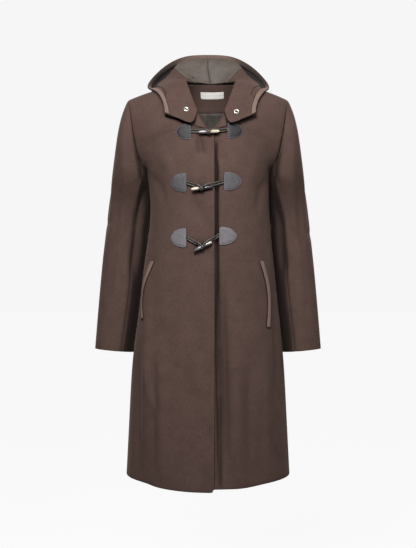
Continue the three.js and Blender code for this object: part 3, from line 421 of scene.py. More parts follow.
@dataclass(frozen=True)
class SewingThread:
    """Spun polyester thread: matt with a slight gloss on each twist, and painted shade in the twist's
    hollows.
    """

    name: str = "sewing_thread"
    face: str = "4a3b35"
    twist_mm: float = 0.5
    hollow_painted_shade: float = 0.6

    def build(self) -> bpy.types.Material:
        """Make the material."""
        material, tree, principled = new_material(self.name, {"Roughness": 0.6, "Specular IOR Level": 0.4})
        add = partial(add_node, tree)
        place = add("TexCoord", {}).outputs["Object"]
        twist = add("TexNoise", grains(place, self.twist_mm * MM, 1)).outputs["Fac"]
        pale = linear(self.face)
        # Painted shade: a noise darkens the thread in places, for the hollows of its twist.
        dark = [c * self.hollow_painted_shade for c in pale[:3]] + [1.0]
        mixed = add("Mix", {"Factor": twist, MIX_ONE: dark, MIX_OTHER: pale}, data_type="RGBA")
        wire(tree, principled, {"Base Color": mixed.outputs[MIX_RESULT]})
        return material


def as_points(values: bpy.types.bpy_prop_collection, key: str) -> np.ndarray:
    """Read a collection's vectors as an array of rows of three."""
    flat = np.empty(len(values) * 3, np.float64)
    values.foreach_get(key, flat)
    return flat.reshape(-1, 3)


def merged_triangles(node: str) -> tuple[np.ndarray, np.ndarray]:
    """Merge the loose triangles of a CAD node.

    Args:
        node: the node's name.

    Returns:
        The points and the triangles that use them.
    """
    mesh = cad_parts[node].data
    loose = as_points(mesh.vertices, "co")
    numbers: dict[tuple, int] = {}
    ids = [numbers.setdefault(tuple(row), len(numbers)) for row in np.round(loose / SAME_POINT).astype(int)]
    points = np.zeros((len(numbers), 3))
    points[ids] = loose
    triangles = [[ids[v] for v in polygon.vertices] for polygon in mesh.polygons]
    return points, np.array([t for t in triangles if len(set(t)) == 3])


def edge_faces(triangles: np.ndarray) -> dict[tuple[int, int], list[int]]:
    """The faces on each edge."""
    found: dict[tuple[int, int], list[int]] = {}
    for number, triangle in enumerate(triangles):
        for i in range(3):
            edge = tuple(sorted((triangle[i], triangle[(i + 1) % 3])))
            found.setdefault(edge, []).append(number)
    return found


def wall_sides(points: np.ndarray, triangles: np.ndarray, thickness: float) -> list[np.ndarray]:
    """Split a closed wall of cloth into its two sides, without its rim.

    Args:
        points: the wall's points.
        triangles: the wall's triangles.
        thickness: the cloth's thickness.

    Returns:
        The triangles of each side.
    """
    edges = [points[triangles[:, i]] - points[triangles[:, (i + 1) % 3]] for i in range(3)]
    lengths = np.linalg.norm(edges, axis=2)
    rim = (np.abs(lengths - thickness) < RIM_MATCH * thickness).any(axis=0)
    kept = triangles[~rim]
    shared = edge_faces(kept)
    label = np.full(len(kept), -1)
    near: list[list[int]] = [[] for _ in kept]
    for faces in shared.values():
        if len(faces) == 2:
            near[faces[0]].append(faces[1])
            near[faces[1]].append(faces[0])
    sides = []
    for start in range(len(kept)):
        if label[start] >= 0:
            continue
        stack = [start]
        label[start] = len(sides)
        while stack:
            for other in near[stack.pop()]:
                if label[other] < 0:
                    label[other] = len(sides)
                    stack.append(other)
        sides.append(kept[label == len(sides)])
    return sorted(sides, key=len, reverse=True)[:2]


def squares(triangles: np.ndarray) -> list[list[int]]:
    """Join the triangles of an even grid in pairs.

    Each triangle has one edge along the rows, one along the columns and one across. The three
    families carry on from triangle to triangle, and the one that never lies on the boundary goes.

    Args:
        triangles: one side of a wall.

    Returns:
        The faces, four corners each where a pair was found.
    """
    shared = edge_faces(triangles)
    family: dict[tuple[int, int], int] = {}
    first = triangles[0]
    for i in range(3):
        family[tuple(sorted((first[i], first[(i + 1) % 3])))] = i
    stack, seen = [0], {0}
    while stack:
        here = triangles[stack.pop()]
        for i in range(3):
            a, b, c = here[i], here[(i + 1) % 3], here[(i + 2) % 3]
            for number in shared[tuple(sorted((a, b)))]:
                if number in seen:
                    continue
                d = next(v for v in triangles[number] if v not in (a, b))
                family[tuple(sorted((a, d)))] = family[tuple(sorted((b, c)))]
                family[tuple(sorted((b, d)))] = family[tuple(sorted((a, c)))]
                seen.add(number)
                stack.append(number)
    on_rim = [0, 0, 0]
    for edge, faces in shared.items():
        on_rim[family[edge]] += len(faces) == 1
    across = on_rim.index(min(on_rim))
    done: set[int] = set()
    faces_out = []
    for edge, faces in shared.items():
        if family[edge] == across and len(faces) == 2 and not done & set(faces):
            one, other = triangles[faces[0]], triangles[faces[1]]
            apex = next(int(v) for v in other if v not in edge)
            i = next(k for k in range(3) if one[k] not in edge)
            faces_out.append([int(one[i]), int(one[(i + 1) % 3]), apex, int(one[(i + 2) % 3])])
            done.update(faces)
    faces_out += [[int(v) for v in triangles[n]] for n in range(len(triangles)) if n not in done]
    return faces_out


def only_select(obj: bpy.types.Object) -> None:
    """Select one object and make it the active one."""
    bpy.ops.object.select_all(action="DESELECT")
    obj.select_set(True)
    bpy.context.view_layer.objects.active = obj


def mesh_object(name: str, points: np.ndarray, faces: list) -> bpy.types.Object:
    """Make an object from points and faces.

    Args:
        name: the piece's name.
        points: rows of three, in metres.
        faces: lists of point numbers.

    Returns:
        The new object, at the origin.
    """
    used = sorted({v for face in faces for v in face})
    number = {v: i for i, v in enumerate(used)}
    mesh = bpy.data.meshes.new(name)
    mesh.from_pydata([tuple(points[v]) for v in used], [], [[number[v] for v in face] for face in faces])
    obj = bpy.data.objects.new(name, mesh)
    bpy.context.scene.collection.objects.link(obj)
    return obj


def apply_modifier(obj: bpy.types.Object, kind: str, **settings: object) -> None:
    """Add a modifier and apply it."""
    only_select(obj)
    modifier = obj.modifiers.new(kind.lower(), kind)
    for key, value in settings.items():
        setattr(modifier, key, value)
    bpy.ops.object.modifier_apply(modifier=modifier.name)


def tree_of(obj: bpy.types.Object) -> BVHTree:
    """A search tree over a mesh's faces."""
    mesh = obj.data
    return BVHTree.FromPolygons([v.co[:] for v in mesh.vertices], [p.vertices[:] for p in mesh.polygons])


def finder_of(points: np.ndarray) -> KDTree:
    """A search tree over points."""
    finder = KDTree(len(points))
    for i, point in enumerate(points):
        finder.insert(point, i)
    finder.balance()
    return finder


def nearest_distances(points: np.ndarray, targets: np.ndarray, far: float) -> np.ndarray:
    """The distance from each point to the nearest target.

    Args:
        points: rows of three.
        targets: rows of three, or none.
        far: the greatest distance given.

    Returns:
        One distance a point.
    """
    if not len(targets):
        return np.full(len(points), far)
    finder = finder_of(targets)
    return np.minimum([finder.find(point)[2] for point in points], far)


def run_along(points: np.ndarray) -> np.ndarray:
    """How far along a path each of its points lies."""
    return np.concatenate([[0.0], np.cumsum(np.linalg.norm(np.diff(points, axis=0), axis=1))])


def store_values(obj: bpy.types.Object, name: str, values: np.ndarray) -> None:
    """Store a value for each point of a mesh, for its material to read."""
    attribute = obj.data.attributes.new(name, "FLOAT", "POINT")
    attribute.data.foreach_set("value", np.asarray(values, np.float32))


def smooth(obj: bpy.types.Object) -> None:
    """Shade a mesh smooth all over."""
    only_select(obj)
    bpy.ops.object.shade_smooth()


@dataclass(frozen=True)
class Fold:
    """A soft fold seen along a direction: a ridge where depth is above 0 and a trough below it.

    Attributes:
        seen: the direction that the fold is seen from.
        path: places across and up, in millimetres.
        half_mm: the fold's half width.
        depth_mm: how far it stands out, or in.
        fade: how much of its length each end takes to fade.
        turned_away: how much the cloth must face the direction before the fold begins to show.
    """

    seen: Direction
    path: tuple[tuple[float, float], ...]
    half_mm: float
    depth_mm: float
    fade: float = 0.3
    turned_away: float = 0.1

    def depths(self, points: np.ndarray, normals: np.ndarray) -> np.ndarray:
        """How far the fold moves each point.

        Args:
            points: the cloth's points.
            normals: their outward directions.

        Returns:
            One depth a point, in metres.
        """
        across = 0 if self.seen in (Direction.FRONT, Direction.BACK) else 1
        flat = points[:, [across, 2]]
        path = np.array(self.path) * MM
        run = run_along(path)
        best = np.full(len(flat), np.inf)
        along = np.zeros(len(flat))
        for i, long in enumerate(np.diff(run)):
            way = (path[i + 1] - path[i]) / long
            t = np.clip((flat - path[i]) @ way, 0, long)
            distance = np.linalg.norm(flat - path[i] - t[:, None] * way, axis=1)
            closer = distance < best
            best = np.where(closer, distance, best)
            along = np.where(closer, (run[i] + t) / run[-1], along)
        ends = np.clip(along / self.fade, 0, 1) * np.clip((1 - along) / self.fade, 0, 1)
        ends = ends * ends * (3 - 2 * ends)
        facing = np.clip((normals @ np.array(self.seen.value) - self.turned_away) * 2.5, 0, 1)
        return self.depth_mm * MM * np.exp(-((best / (self.half_mm * MM)) ** 2)) * ends * facing


class Sheet:
    """A sheet of cloth, made finer from one side of a CAD wall and then given its thickness."""

    def __init__(
        self, node: str, thickness: float, levels: int, away_from: str | None = None,
        round_corners: bool = False,
    ) -> None:
        """Take a side of the node's wall and make it finer.

        Args:
            node: the CAD node.
            thickness: the cloth's thickness.
            levels: how many times the cells are halved.
            away_from: the node that the wanted side lies furthest from, or None for the larger side.
            round_corners: whether the cut's corners are rounded.
        """
        self.node = node
        self.thickness = thickness
        points, triangles = merged_triangles(node)
        sides = wall_sides(points, triangles, thickness)
        if away_from:
            others = merged_triangles(away_from)[0]
            sides.sort(key=lambda side: -nearest_distances(points[np.unique(side)], others, 1.0).mean())
        else:
            sides.sort(key=lambda side: -self.area_of(points, side))
        self.obj = mesh_object(node + "_cloth", points, squares(sides[0]))
        self.flip_to(points, sides)
        corners = "ALL" if round_corners else "PRESERVE_CORNERS"
        apply_modifier(self.obj, "SUBSURF", levels=levels, render_levels=levels, boundary_smooth=corners)

    @staticmethod
    def area_of(points: np.ndarray, triangles: np.ndarray) -> float:
        """The area of some triangles."""
        a, b, c = (points[triangles[:, i]] for i in range(3))
        return float(np.linalg.norm(np.cross(b - a, c - a), axis=1).sum() / 2)

    def flip_to(self, points: np.ndarray, sides: list[np.ndarray]) -> None:
        """Check that the faces point away from the wall's other side, and turn them if not."""
        here = self.points()
        finder = finder_of(points[np.unique(sides[1])])
        ways = np.array([finder.find(point)[0] for point in here]) - here
        if (ways * self.normals()).sum() > 0:
            self.obj.data.flip_normals()

    def points(self) -> np.ndarray:
        """The sheet's points."""
        return as_points(self.obj.data.vertices, "co")

    def normals(self) -> np.ndarray:
        """The sheet's outward directions."""
        return as_points(self.obj.data.vertex_normals, "vector")

    def set_points(self, points: np.ndarray) -> None:
        """Place the sheet's points."""
        self.obj.data.vertices.foreach_set("co", points.astype(np.float32).ravel())
        self.obj.data.update()

    def shift(self, depths: np.ndarray) -> None:
        """Move the points along their outward directions."""
        self.set_points(self.points() + self.normals() * depths[:, None])

    def rim_edges(self) -> np.ndarray:
        """The two point numbers of each edge on the sheet's boundary."""
        mesh = self.obj.data
        on_loops = np.empty(len(mesh.loops), np.int64)
        mesh.loops.foreach_get("edge_index", on_loops)
        counts = np.bincount(on_loops, minlength=len(mesh.edges))
        ends = np.empty(len(mesh.edges) * 2, np.int64)
        mesh.edges.foreach_get("vertices", ends)
        return ends.reshape(-1, 2)[counts == 1]

    def rim_numbers(self) -> np.ndarray:
        """The numbers of the points on the sheet's boundary."""
        return np.unique(self.rim_edges())

    def rim_samples(self, step: float) -> np.ndarray:
        """Points along the whole boundary, a step apart."""
        points = self.points()
        samples = []
        for a, b in self.rim_edges():
            count = max(1, int(np.linalg.norm(points[b] - points[a]) / step))
            share = (np.arange(count) / count)[:, None]
            samples.append(points[a] * (1 - share) + points[b] * share)
        return np.concatenate(samples)

    def rim_path(self) -> list[int]:
        """The boundary's point numbers in order, for a sheet with one boundary."""
        near: dict[int, list[int]] = {}
        for a, b in self.rim_edges().tolist():
            near.setdefault(a, []).append(b)
            near.setdefault(b, []).append(a)
        path = [next(iter(near))]
        path.append(near[path[0]][0])
        while path[-1] != path[0]:
            path.append(next(v for v in near[path[-1]] if v != path[-2]))
        return path

    def store(self, name: str, values: np.ndarray) -> None:
        """Store a value for each point."""
        store_values(self.obj, name, values)

    def fold(self, folds: list[Fold], strength: float = 1.0) -> None:
        """Press folds into the cloth.

        Args:
            folds: the folds.
            strength: what their depths are multiplied by.
        """
        points, normals = self.points(), self.normals()
        self.shift(strength * sum((fold.depths(points, normals) for fold in folds), np.zeros(len(points))))

    def lie_on(self, carriers: list["Sheet"], gap: float) -> None:
        """Lay the sheet on others, its underside at a gap above them.

        Args:
            carriers: the sheets that it lies on.
            gap: the air between the two.
        """
        trees = [tree_of(carrier.obj) for carrier in carriers]
        placed = []
        for point in self.points():
            hits = [tree.find_nearest(point) for tree in trees]
            spot, normal, _, _ = min(hits, key=lambda hit: hit[3])
            placed.append(spot + normal * (gap + self.thickness))
        self.set_points(np.array(placed))

    def finish(
        self, material: bpy.types.Material, slot: str, flat: tuple, area: float, round_mm: float = 0.7,
        other_side: bpy.types.Material | None = None,
    ) -> None:
        """Give the cloth its thickness and finish.

        Args:
            material: what it is made of.
            slot: the name of a material slot; not used.
            flat: width and length of the cut, in metres; not used.
            area: the cut's area in square metres; not used.
            round_mm: how round the cut edges are.
            other_side: the material of its far side, where that differs.
        """
        self.obj.data.materials.append(material)
        if other_side:
            self.obj.data.materials.append(other_side)
        settings = {"thickness": self.thickness, "offset": -1.0, "use_even_offset": True}
        apply_modifier(self.obj, "SOLIDIFY", material_offset=1 if other_side else 0, **settings)
        if round_mm:
            settings = {"limit_method": "ANGLE", "angle_limit": math.radians(CUT_ANGLE)}
            apply_modifier(self.obj, "BEVEL", width=round_mm * MM, segments=2, **settings)
        only_select(self.obj)
        bpy.ops.object.shade_smooth_by_angle(angle=math.radians(SMOOTH_ANGLE))
        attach(self.obj, "root")
        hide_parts(self.node)
        LOG.info("%s: %d faces", self.obj.name, len(self.obj.data.polygons))


def close_seams(sheets: list[Sheet], widest: float = 6 * MM, ease: float = 16 * MM) -> None:
    """Bring the sewn edges of neighbouring sheets together, halfway each.

    Args:
        sheets: the sheets that are sewn to each other.
        widest: the widest opening that is a seam.
        ease: how far into the cloth the move fades out.
    """
    samples = [sheet.rim_samples(0.5 * MM) for sheet in sheets]
    moves = []
    for i, sheet in enumerate(sheets):
        others = np.concatenate([rim for j, rim in enumerate(samples) if j != i])
        finder = finder_of(others)
        rim = sheet.points()[sheet.rim_numbers()]
        found = [finder.find(point) for point in rim]
        move = np.array([np.array(hit[0]) - point if hit[2] < widest else np.zeros(3)
                         for hit, point in zip(found, rim)]) / 2
        moves.append((rim, move))
    for sheet, (rim, move) in zip(sheets, moves):
        points = sheet.points()
        finder = finder_of(rim)
        near = [finder.find(point) for point in points]
        share = np.clip(1 - np.array([hit[2] for hit in near]) / ease, 0, 1) ** 2
        sheet.set_points(points + move[[hit[1] for hit in near]] * share[:, None])


def mark_seams(sheets: list[Sheet]) -> None:
    """Close the seams, store how far each point is from a seam and from a finished edge, and sink the seams.

    Args:
        sheets: the sheets that are sewn to each other.
    """
    close_seams(sheets)
    reach = FAR_FROM_EDGE
    rims = [sheet.points()[sheet.rim_numbers()] for sheet in sheets]
    for i, sheet in enumerate(sheets):
        others = np.concatenate([rim for j, rim in enumerate(rims) if j != i])
        sewn = nearest_distances(rims[i], others, reach) < 5 * MM
        seam = nearest_distances(sheet.points(), rims[i][sewn], reach)
        edge = nearest_distances(sheet.points(), rims[i][~sewn], reach)
        sheet.store("seam_mm", seam / MM)
        sheet.store("edge_mm", edge / MM)
        groove = -0.8 * np.exp(-((seam / (2.4 * MM)) ** 2))
        allowance = 0.4 * np.exp(-(((seam - 8 * MM) / (5 * MM)) ** 2))
        sheet.shift((groove + allowance) * MM)


@dataclass
class StitchRow:
    """A row of sewing: small spindles of thread, one for each stitch.

    Attributes:
        name: the piece's name.
        long_mm: length of a stitch.
        pitch_mm: distance from stitch to stitch.
        thick_mm: thickness of the thread.
        places: for each stitch its place, its direction, its side and the cloth's outward direction.
    """

    name: str
    long_mm: float = 3.0
    pitch_mm: float = 4.0
    thick_mm: float = 0.7
    places: list = field(default_factory=list)

    def follow(self, path: np.ndarray, carrier: BVHTree, closed: bool = False) -> None:
        """Add stitches along a path, laid on what carries them.

        Args:
            path: points of the path, in metres.
            carrier: the surface that is sewn.
            closed: whether the path runs back to its start.
        """
        points = np.concatenate([path, path[:1]]) if closed else path
        run = run_along(points)
        count = max(2, round(run[-1] / (self.pitch_mm * MM)))
        at = (np.arange(count) + 0.5) * run[-1] / count
        reach = 0.3 * self.pitch_mm * MM
        for place in at:
            ends = (place - reach, place + reach)
            here, after = (Vector([np.interp(end, run, points[:, k]) for k in range(3)]) for end in ends)
            spot, normal, _, _ = carrier.find_nearest((here + after) / 2)
            way = (after - here).normalized()
            side = normal.cross(way).normalized()
            self.places.append((np.array(spot), np.array(way), np.array(side), np.array(normal)))

    def build(self, material: bpy.types.Material) -> bpy.types.Object:
        """Make the row's mesh.

        Args:
            material: the thread.

        Returns:
            The row's object.
        """
        bpy.ops.object.select_all(action="DESELECT")
        quarter = (0, math.pi / 2, 0)
        bpy.ops.mesh.primitive_uv_sphere_add(segments=6, ring_count=4, radius=1.0, rotation=quarter)
        spindle = bpy.context.active_object
        bpy.ops.object.transform_apply(location=False, rotation=True, scale=False)
        model = as_points(spindle.data.vertices, "co")
        model *= np.array([self.long_mm, self.thick_mm, 0.8 * self.thick_mm]) * MM / 2
        model_faces = [list(p.vertices) for p in spindle.data.polygons]
        bpy.data.objects.remove(spindle)
        points, faces = [], []
        for number, (spot, way, side, normal) in enumerate(self.places):
            start = number * len(model)
            axes = np.stack([way, side, normal])
            points.append(spot + model @ axes)
            faces += [[v + start for v in face] for face in model_faces]
        obj = mesh_object(self.name, np.concatenate(points), faces)
        obj.data.materials.append(material)
        smooth(obj)
        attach(obj, "root")
        LOG.info("%s: %d stitches", self.name, len(self.places))
        return obj


class Finishes:
    """Every material of the coat, built once."""

    def __init__(self) -> None:
        """Build the materials."""
        self.wool = WoolMelton().build()
        self.wool_inside = WoolMelton(name="wool_melton_inside", face="55433e", shade="4c3b36").build()
        self.band = WoolMelton(name="wool_melton_pale_face", face="7b675f", shade="6c5952").build()
        self.welt = WoolMelton(name="wool_melton_pocket_welt", face="826b62", shade="715d56").build()
        self.satin = Satin().build()
        # The same satin, darkened as painted shade for the deep inside of the hood's bag.
        self.satin_bag_painted_shade = Satin(name="satin_hood_bag", face="2c2724", shade="231f1c").build()
        self.lining = Satin(name="twill_body_lining", face="4c4741", shade="403c37", rough=0.5).build()
        self.leather = GrainedLeather().build()
        self.leather_dark = GrainedLeather(name="grained_leather_dark", face="1f1d20", shade="19171a").build()
        self.leather_pale = GrainedLeather(name="grained_leather_pale", face="6d696d", shade="625e62").build()
        self.cord = WaxedCord().build()
        self.metal = StudMetal().build()
        # The plate darkened as painted shade, for the inside of a stud's socket.
        self.socket = StudMetal(name="nickel_plate_in_shade", face="4a4744").build()
        self.tape = WovenTape().build()
        self.thread = SewingThread().build()
        self.thread_grey = SewingThread(name="sewing_thread_grey", face="5a565a").build()


@dataclass
class CoatBody:
    """The two fronts and the back.

    Attributes:
        levels: how many times each cell of the panels is halved.
        strength: what the folds' depths are multiplied by.
        topstitch_mm: distance of the topstitching from the front edge.
        folds: the creases, as seen from the front and the back.
        edge_trough: the narrow trough of the underlap beside the front edge.
        skirt_trough: the wider one outside it, below the waist.
        edge_lift: the roll of the front edge itself.
        cuts: width, length and area of each panel's cut, in metres.
        sheets: the panels by node.
    """

    levels: int = 3
    strength: float = 1.9
    topstitch_mm: float = 7.5
    folds: tuple[Fold, ...] = (
        Fold(Direction.FRONT, ((-150, -330), (-146, -620), (-160, -960)), 13, 4.0, 0.35),
        Fold(Direction.FRONT, ((-168, -600), (-166, -980)), 10, -4.0, 0.4),
        Fold(Direction.FRONT, ((-118, -560), (-104, -990)), 18, 3.0, 0.4),
        Fold(Direction.FRONT, ((-128, -610), (-128, -970)), 10, -2.6, 0.4),
        Fold(Direction.FRONT, ((-150, -600), (-143, -710), (-118, -830)), 7, 2.2, 0.4),
        Fold(Direction.FRONT, ((26, -400), (30, -700), (34, -970)), 12, -4.0, 0.35),
        Fold(Direction.FRONT, ((62, -520), (70, -980)), 20, 3.4, 0.4),
        Fold(Direction.FRONT, ((96, -640), (100, -960)), 14, -2.4, 0.4),
        Fold(Direction.FRONT, ((135, -590), (146, -960)), 15, 3.0, 0.4),
        Fold(Direction.FRONT, ((172, -300), (166, -520), (178, -900)), 12, -3.0, 0.4),
        Fold(Direction.FRONT, ((-24, -112), (-18, -150), (-8, -178)), 9, -5.0, 0.35),
        Fold(Direction.FRONT, ((30, -120), (34, -160), (30, -200)), 12, -3.0, 0.35),
        Fold(Direction.FRONT, ((-38, -256), (-26, -300), (-22, -330)), 12, -2.6, 0.4),
        Fold(Direction.FRONT, ((-8, -170), (-2, -230), (2, -330), (-2, -400)), 10, 1.6, 0.4),
        Fold(Direction.FRONT, ((-122, -140), (-92, -196), (-70, -260)), 16, 2.0, 0.45),
        Fold(Direction.FRONT, ((126, -150), (104, -210), (92, -280)), 16, 2.0, 0.45),
        Fold(Direction.FRONT, ((-152, -196), (-120, -236), (-96, -300)), 10, -2.4, 0.45),
        Fold(Direction.FRONT, ((152, -200), (128, -250), (116, -320)), 10, -2.2, 0.45),
        Fold(Direction.BACK, ((-150, -200), (-110, -260), (-70, -330)), 14, -3.0, 0.45),
        Fold(Direction.BACK, ((146, -210), (104, -280), (76, -360)), 14, -3.0, 0.45),
        Fold(Direction.BACK, ((-60, -430), (-80, -980)), 20, -4.0, 0.4),
        Fold(Direction.BACK, ((-6, -480), (-14, -980)), 16, 3.2, 0.4),
        Fold(Direction.BACK, ((64, -400), (58, -980)), 18, -3.6, 0.4),
        Fold(Direction.BACK, ((116, -520), (138, -980)), 16, 3.4, 0.4),
        Fold(Direction.BACK, ((-132, -560), (-150, -980)), 16, 3.0, 0.4),
        Fold(Direction.BACK, ((-96, -250), (-20, -268), (70, -250)), 12, -1.8, 0.45),
    )
    cuts: tuple[tuple[str, float, float, float], ...] = (
        ("front_right", 0.31, 1.02, 0.252),
        ("front_left", 0.31, 1.02, 0.257),
        ("back", 0.50, 1.06, 0.45),
    )
    edge_trough: Fold = Fold(
        Direction.FRONT, ((20.5, -118), (20.5, -300), (23, -560), (27, -760), (29, -975)), 4, -9.0, 0.04)
    skirt_trough: Fold = Fold(
        Direction.FRONT, ((32, -430), (36, -620), (40, -800), (42, -985)), 13, -6.0, 0.2)
    edge_lift: Fold = Fold(
        Direction.FRONT, ((15, -130), (17, -420), (19, -760), (23, -975)), 7, 2.6, 0.1)
    sheets: dict[str, Sheet] = field(default_factory=dict)

    def model(self) -> None:
        """Make the panels finer and press their folds."""
        for node in ("front_right", "front_left", "back"):
            self.sheets[node] = Sheet(node, WOOL, self.levels)
            self.sheets[node].fold(list(self.folds), self.strength)
        self.sheets["front_right"].fold([self.edge_lift])

    def press_edge(self) -> None:
        """Sink the underlap beside the front edge, once the patches lie on it."""
        self.sheets["front_left"].fold([self.edge_trough, self.skirt_trough])

    def dress(self, finishes: Finishes) -> None:
        """Give the panels their thickness and sewing."""
        carrier = tree_of(self.sheets["front_right"].obj)
        for node, width, length, area in self.cuts:
            self.sheets[node].finish(finishes.wool, "wool", (width, length), area)
        edge_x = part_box("front_right")[1].x - self.topstitch_mm * MM
        top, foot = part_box("toggle_1")[0].z - 6 * MM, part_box("front_right")[0].z + 26 * MM
        path = [Vector((edge_x, IN_FRONT, z)) for z in np.linspace(top, foot, 120)]
        hits = [carrier.ray_cast(point, Vector((0, 1, 0)))[0] for point in path]
        row = StitchRow("front_edge_stitching", long_mm=3.2, pitch_mm=4.2, thick_mm=0.6)
        row.follow(np.array([hit for hit in hits if hit]), carrier)
        row.build(finishes.thread)


@dataclass
class Sleeves:
    """Two-piece sleeves: a top piece and an under piece on each side.

    Attributes:
        levels: how many times each cell is halved.
        folds: the creases, as seen from each side.
        tuck_mm: how far the inner side leans to the body at the waist.
        tuck_span: heights between which it leans, in millimetres.
        sheets: the sleeve pieces by node.
    """

    levels: int = 3
    tuck_mm: float = 14.0
    tuck_span: tuple[float, float] = (-330.0, -90.0)
    folds: tuple[Fold, ...] = (
        Fold(Direction.FRONT, ((-158, -186), (-168, -260), (-178, -340), (-188, -480)), 13, -11.0, 0.25),
        Fold(Direction.FRONT, ((158, -186), (168, -260), (178, -340), (188, -480)), 13, -11.0, 0.25),
        Fold(Direction.FRONT, ((-214, -60), (-224, -200), (-232, -420)), 12, -3.0, 0.35),
        Fold(Direction.FRONT, ((-196, -150), (-206, -250), (-222, -380), (-236, -600)), 9, 2.2, 0.3),
        Fold(Direction.FRONT, ((-186, -120), (-176, -190), (-190, -260)), 8, -2.6, 0.4),
        Fold(Direction.FRONT, ((-196, -300), (-206, -352), (-232, -388)), 8, -2.2, 0.45),
        Fold(Direction.FRONT, ((-208, -400), (-220, -440), (-246, -470)), 8, -1.8, 0.45),
        Fold(Direction.FRONT, ((216, -56), (226, -220), (236, -430)), 12, -3.0, 0.35),
        Fold(Direction.FRONT, ((198, -150), (208, -260), (226, -400), (240, -610)), 9, 2.4, 0.3),
        Fold(Direction.FRONT, ((188, -120), (178, -190), (194, -270)), 8, -2.6, 0.4),
        Fold(Direction.FRONT, ((200, -310), (212, -360), (238, -392)), 8, -2.2, 0.45),
        Fold(Direction.FRONT, ((206, -430), (224, -470), (250, -500)), 8, -1.8, 0.45),
        Fold(Direction.RIGHT, ((20, -120), (36, -260), (58, -420)), 12, -2.4, 0.4),
        Fold(Direction.RIGHT, ((4, -300), (40, -330), (84, -316)), 9, -2.2, 0.45),
        Fold(Direction.LEFT, ((16, -110), (34, -260), (52, -440)), 12, -2.4, 0.4),
        Fold(Direction.LEFT, ((8, -330), (46, -356), (88, -340)), 9, -2.2, 0.45),
        Fold(Direction.BACK, ((-196, -150), (-214, -280), (-240, -330)), 10, -3.0, 0.4),
        Fold(Direction.BACK, ((-206, -330), (-230, -352), (-250, -350)), 8, -2.4, 0.45),
        Fold(Direction.BACK, ((198, -150), (216, -280), (242, -330)), 10, -3.0, 0.4),
        Fold(Direction.BACK, ((204, -350), (232, -372), (254, -368)), 8, -2.4, 0.45),
    )
    sheets: dict[str, Sheet] = field(default_factory=dict)

    def model(self) -> None:
        """Make the sleeve pieces finer and press their folds."""
        for side in SIDES:
            for part in ("upper", "under"):
                node = f"sleeve_{side}_{part}"
                self.sheets[node] = Sheet(node, WOOL, self.levels)
                self.sheets[node].fold(list(self.folds))
                self.tuck(self.sheets[node])

    def tuck(self, sheet: Sheet) -> None:
        """Lean the inner side of a sleeve to the body, as it hangs."""
        points, normals = sheet.points(), sheet.normals()
        low, high = (value * MM for value in self.tuck_span)
        wave = np.sin(np.clip((points[:, 2] - low) / (high - low), 0, 1) * math.pi) ** 2
        inward = -np.sign(points[:, 0])
        share = np.clip(0.35 + normals[:, 0] * inward, 0, 1)
        points[:, 0] += inward * wave * share * self.tuck_mm * MM
        sheet.set_points(points)

    def dress(self, finishes: Finishes) -> None:
        """Give the sleeves their thickness."""
        for node, sheet in self.sheets.items():
            cut = (0.26, 0.64, 0.113) if node.endswith("upper") else (0.14, 0.52, 0.058)
            sheet.finish(finishes.wool, "wool", cut[:2], cut[2])


@dataclass
class Hood:
    """The hood, lying open behind the neck, with its facings, satin lining and rim bands.

    Attributes:
        levels: how many times each cell is halved.
        folds: the creases of the outer hood, seen from behind.
        satin_from_mm: height from which the inner side of the bag is satin, darkened there as painted shade.
        lining_folds: the creases of the lining in the hood's mouth.
        sheets: the pieces by node.
    """

    levels: int = 3
    folds: tuple[Fold, ...] = (
        Fold(Direction.BACK, ((-84, -20), (-40, -90), (0, -150)), 14, 3.0, 0.4),
        Fold(Direction.BACK, ((84, -20), (44, -96), (6, -150)), 14, 3.0, 0.4),
        Fold(Direction.BACK, ((-60, 60), (-30, 0), (-22, -70)), 16, -3.0, 0.4),
        Fold(Direction.BACK, ((64, 56), (36, -4), (22, -76)), 16, -3.0, 0.4),
    )
    satin_from_mm: float = 19.0
    lining_folds: tuple[Fold, ...] = (
        Fold(Direction.FRONT, ((-70, 34), (-46, 40), (-20, 60)), 5, -1.6, 0.4),
        Fold(Direction.FRONT, ((-56, 26), (-30, 30), (8, 34)), 4, 1.6, 0.4),
        Fold(Direction.FRONT, ((20, 36), (44, 34), (72, 46)), 4, 1.4, 0.4),
        Fold(Direction.FRONT, ((-40, 60), (-16, 72), (6, 88)), 6, 1.2, 0.4),
        Fold(Direction.FRONT, ((28, 84), (50, 70), (66, 50)), 6, 1.4, 0.4),
    )
    sheets: dict[str, Sheet] = field(default_factory=dict)

    def model(self) -> None:
        """Make the hood finer and lay its inner pieces on it."""
        for side in SIDES:
            self.sheets[f"hood_{side}"] = Sheet(f"hood_{side}", WOOL, self.levels, away_from="back")
            self.sheets[f"hood_{side}"].fold(list(self.folds))
            for part, cloth in (("facing", FACING_CLOTH), ("lining", SATIN), ("rim", FACING_CLOTH)):
                node = f"hood_{part}_{side}"
                self.sheets[node] = Sheet(node, cloth, self.levels, away_from=f"hood_{side}")

    def dress(self, finishes: Finishes) -> None:
        """Give the hood's pieces their thickness and sewing."""
        kinds = {
            "hood_facing": (finishes.wool, "wool", (0.11, 0.24), 0.0145),
            "hood_lining": (finishes.satin, "satin", (0.09, 0.10), 0.0055),
            "hood_rim": (finishes.band, "rim_band", (0.012, 0.40), 0.0046),
            "hood": (finishes.satin_bag_painted_shade, "wool", (0.30, 0.40), 0.087),
        }
        for node, sheet in self.sheets.items():
            material, slot, flat, area = kinds[node.rsplit("_", 1)[0]]
            if node.startswith("hood_lining"):
                sheet.fold(list(self.lining_folds))
            # The bag's inner side takes the darkened satin, painted shade, and its outer side the wool.
            outside = finishes.wool if node in ("hood_right", "hood_left") else None
            sheet.finish(material, slot, flat, area, other_side=outside)
            if outside:
                low = [face for face in sheet.obj.data.polygons if face.center.z < self.satin_from_mm * MM]
                for face in low:
                    face.material_index = 1


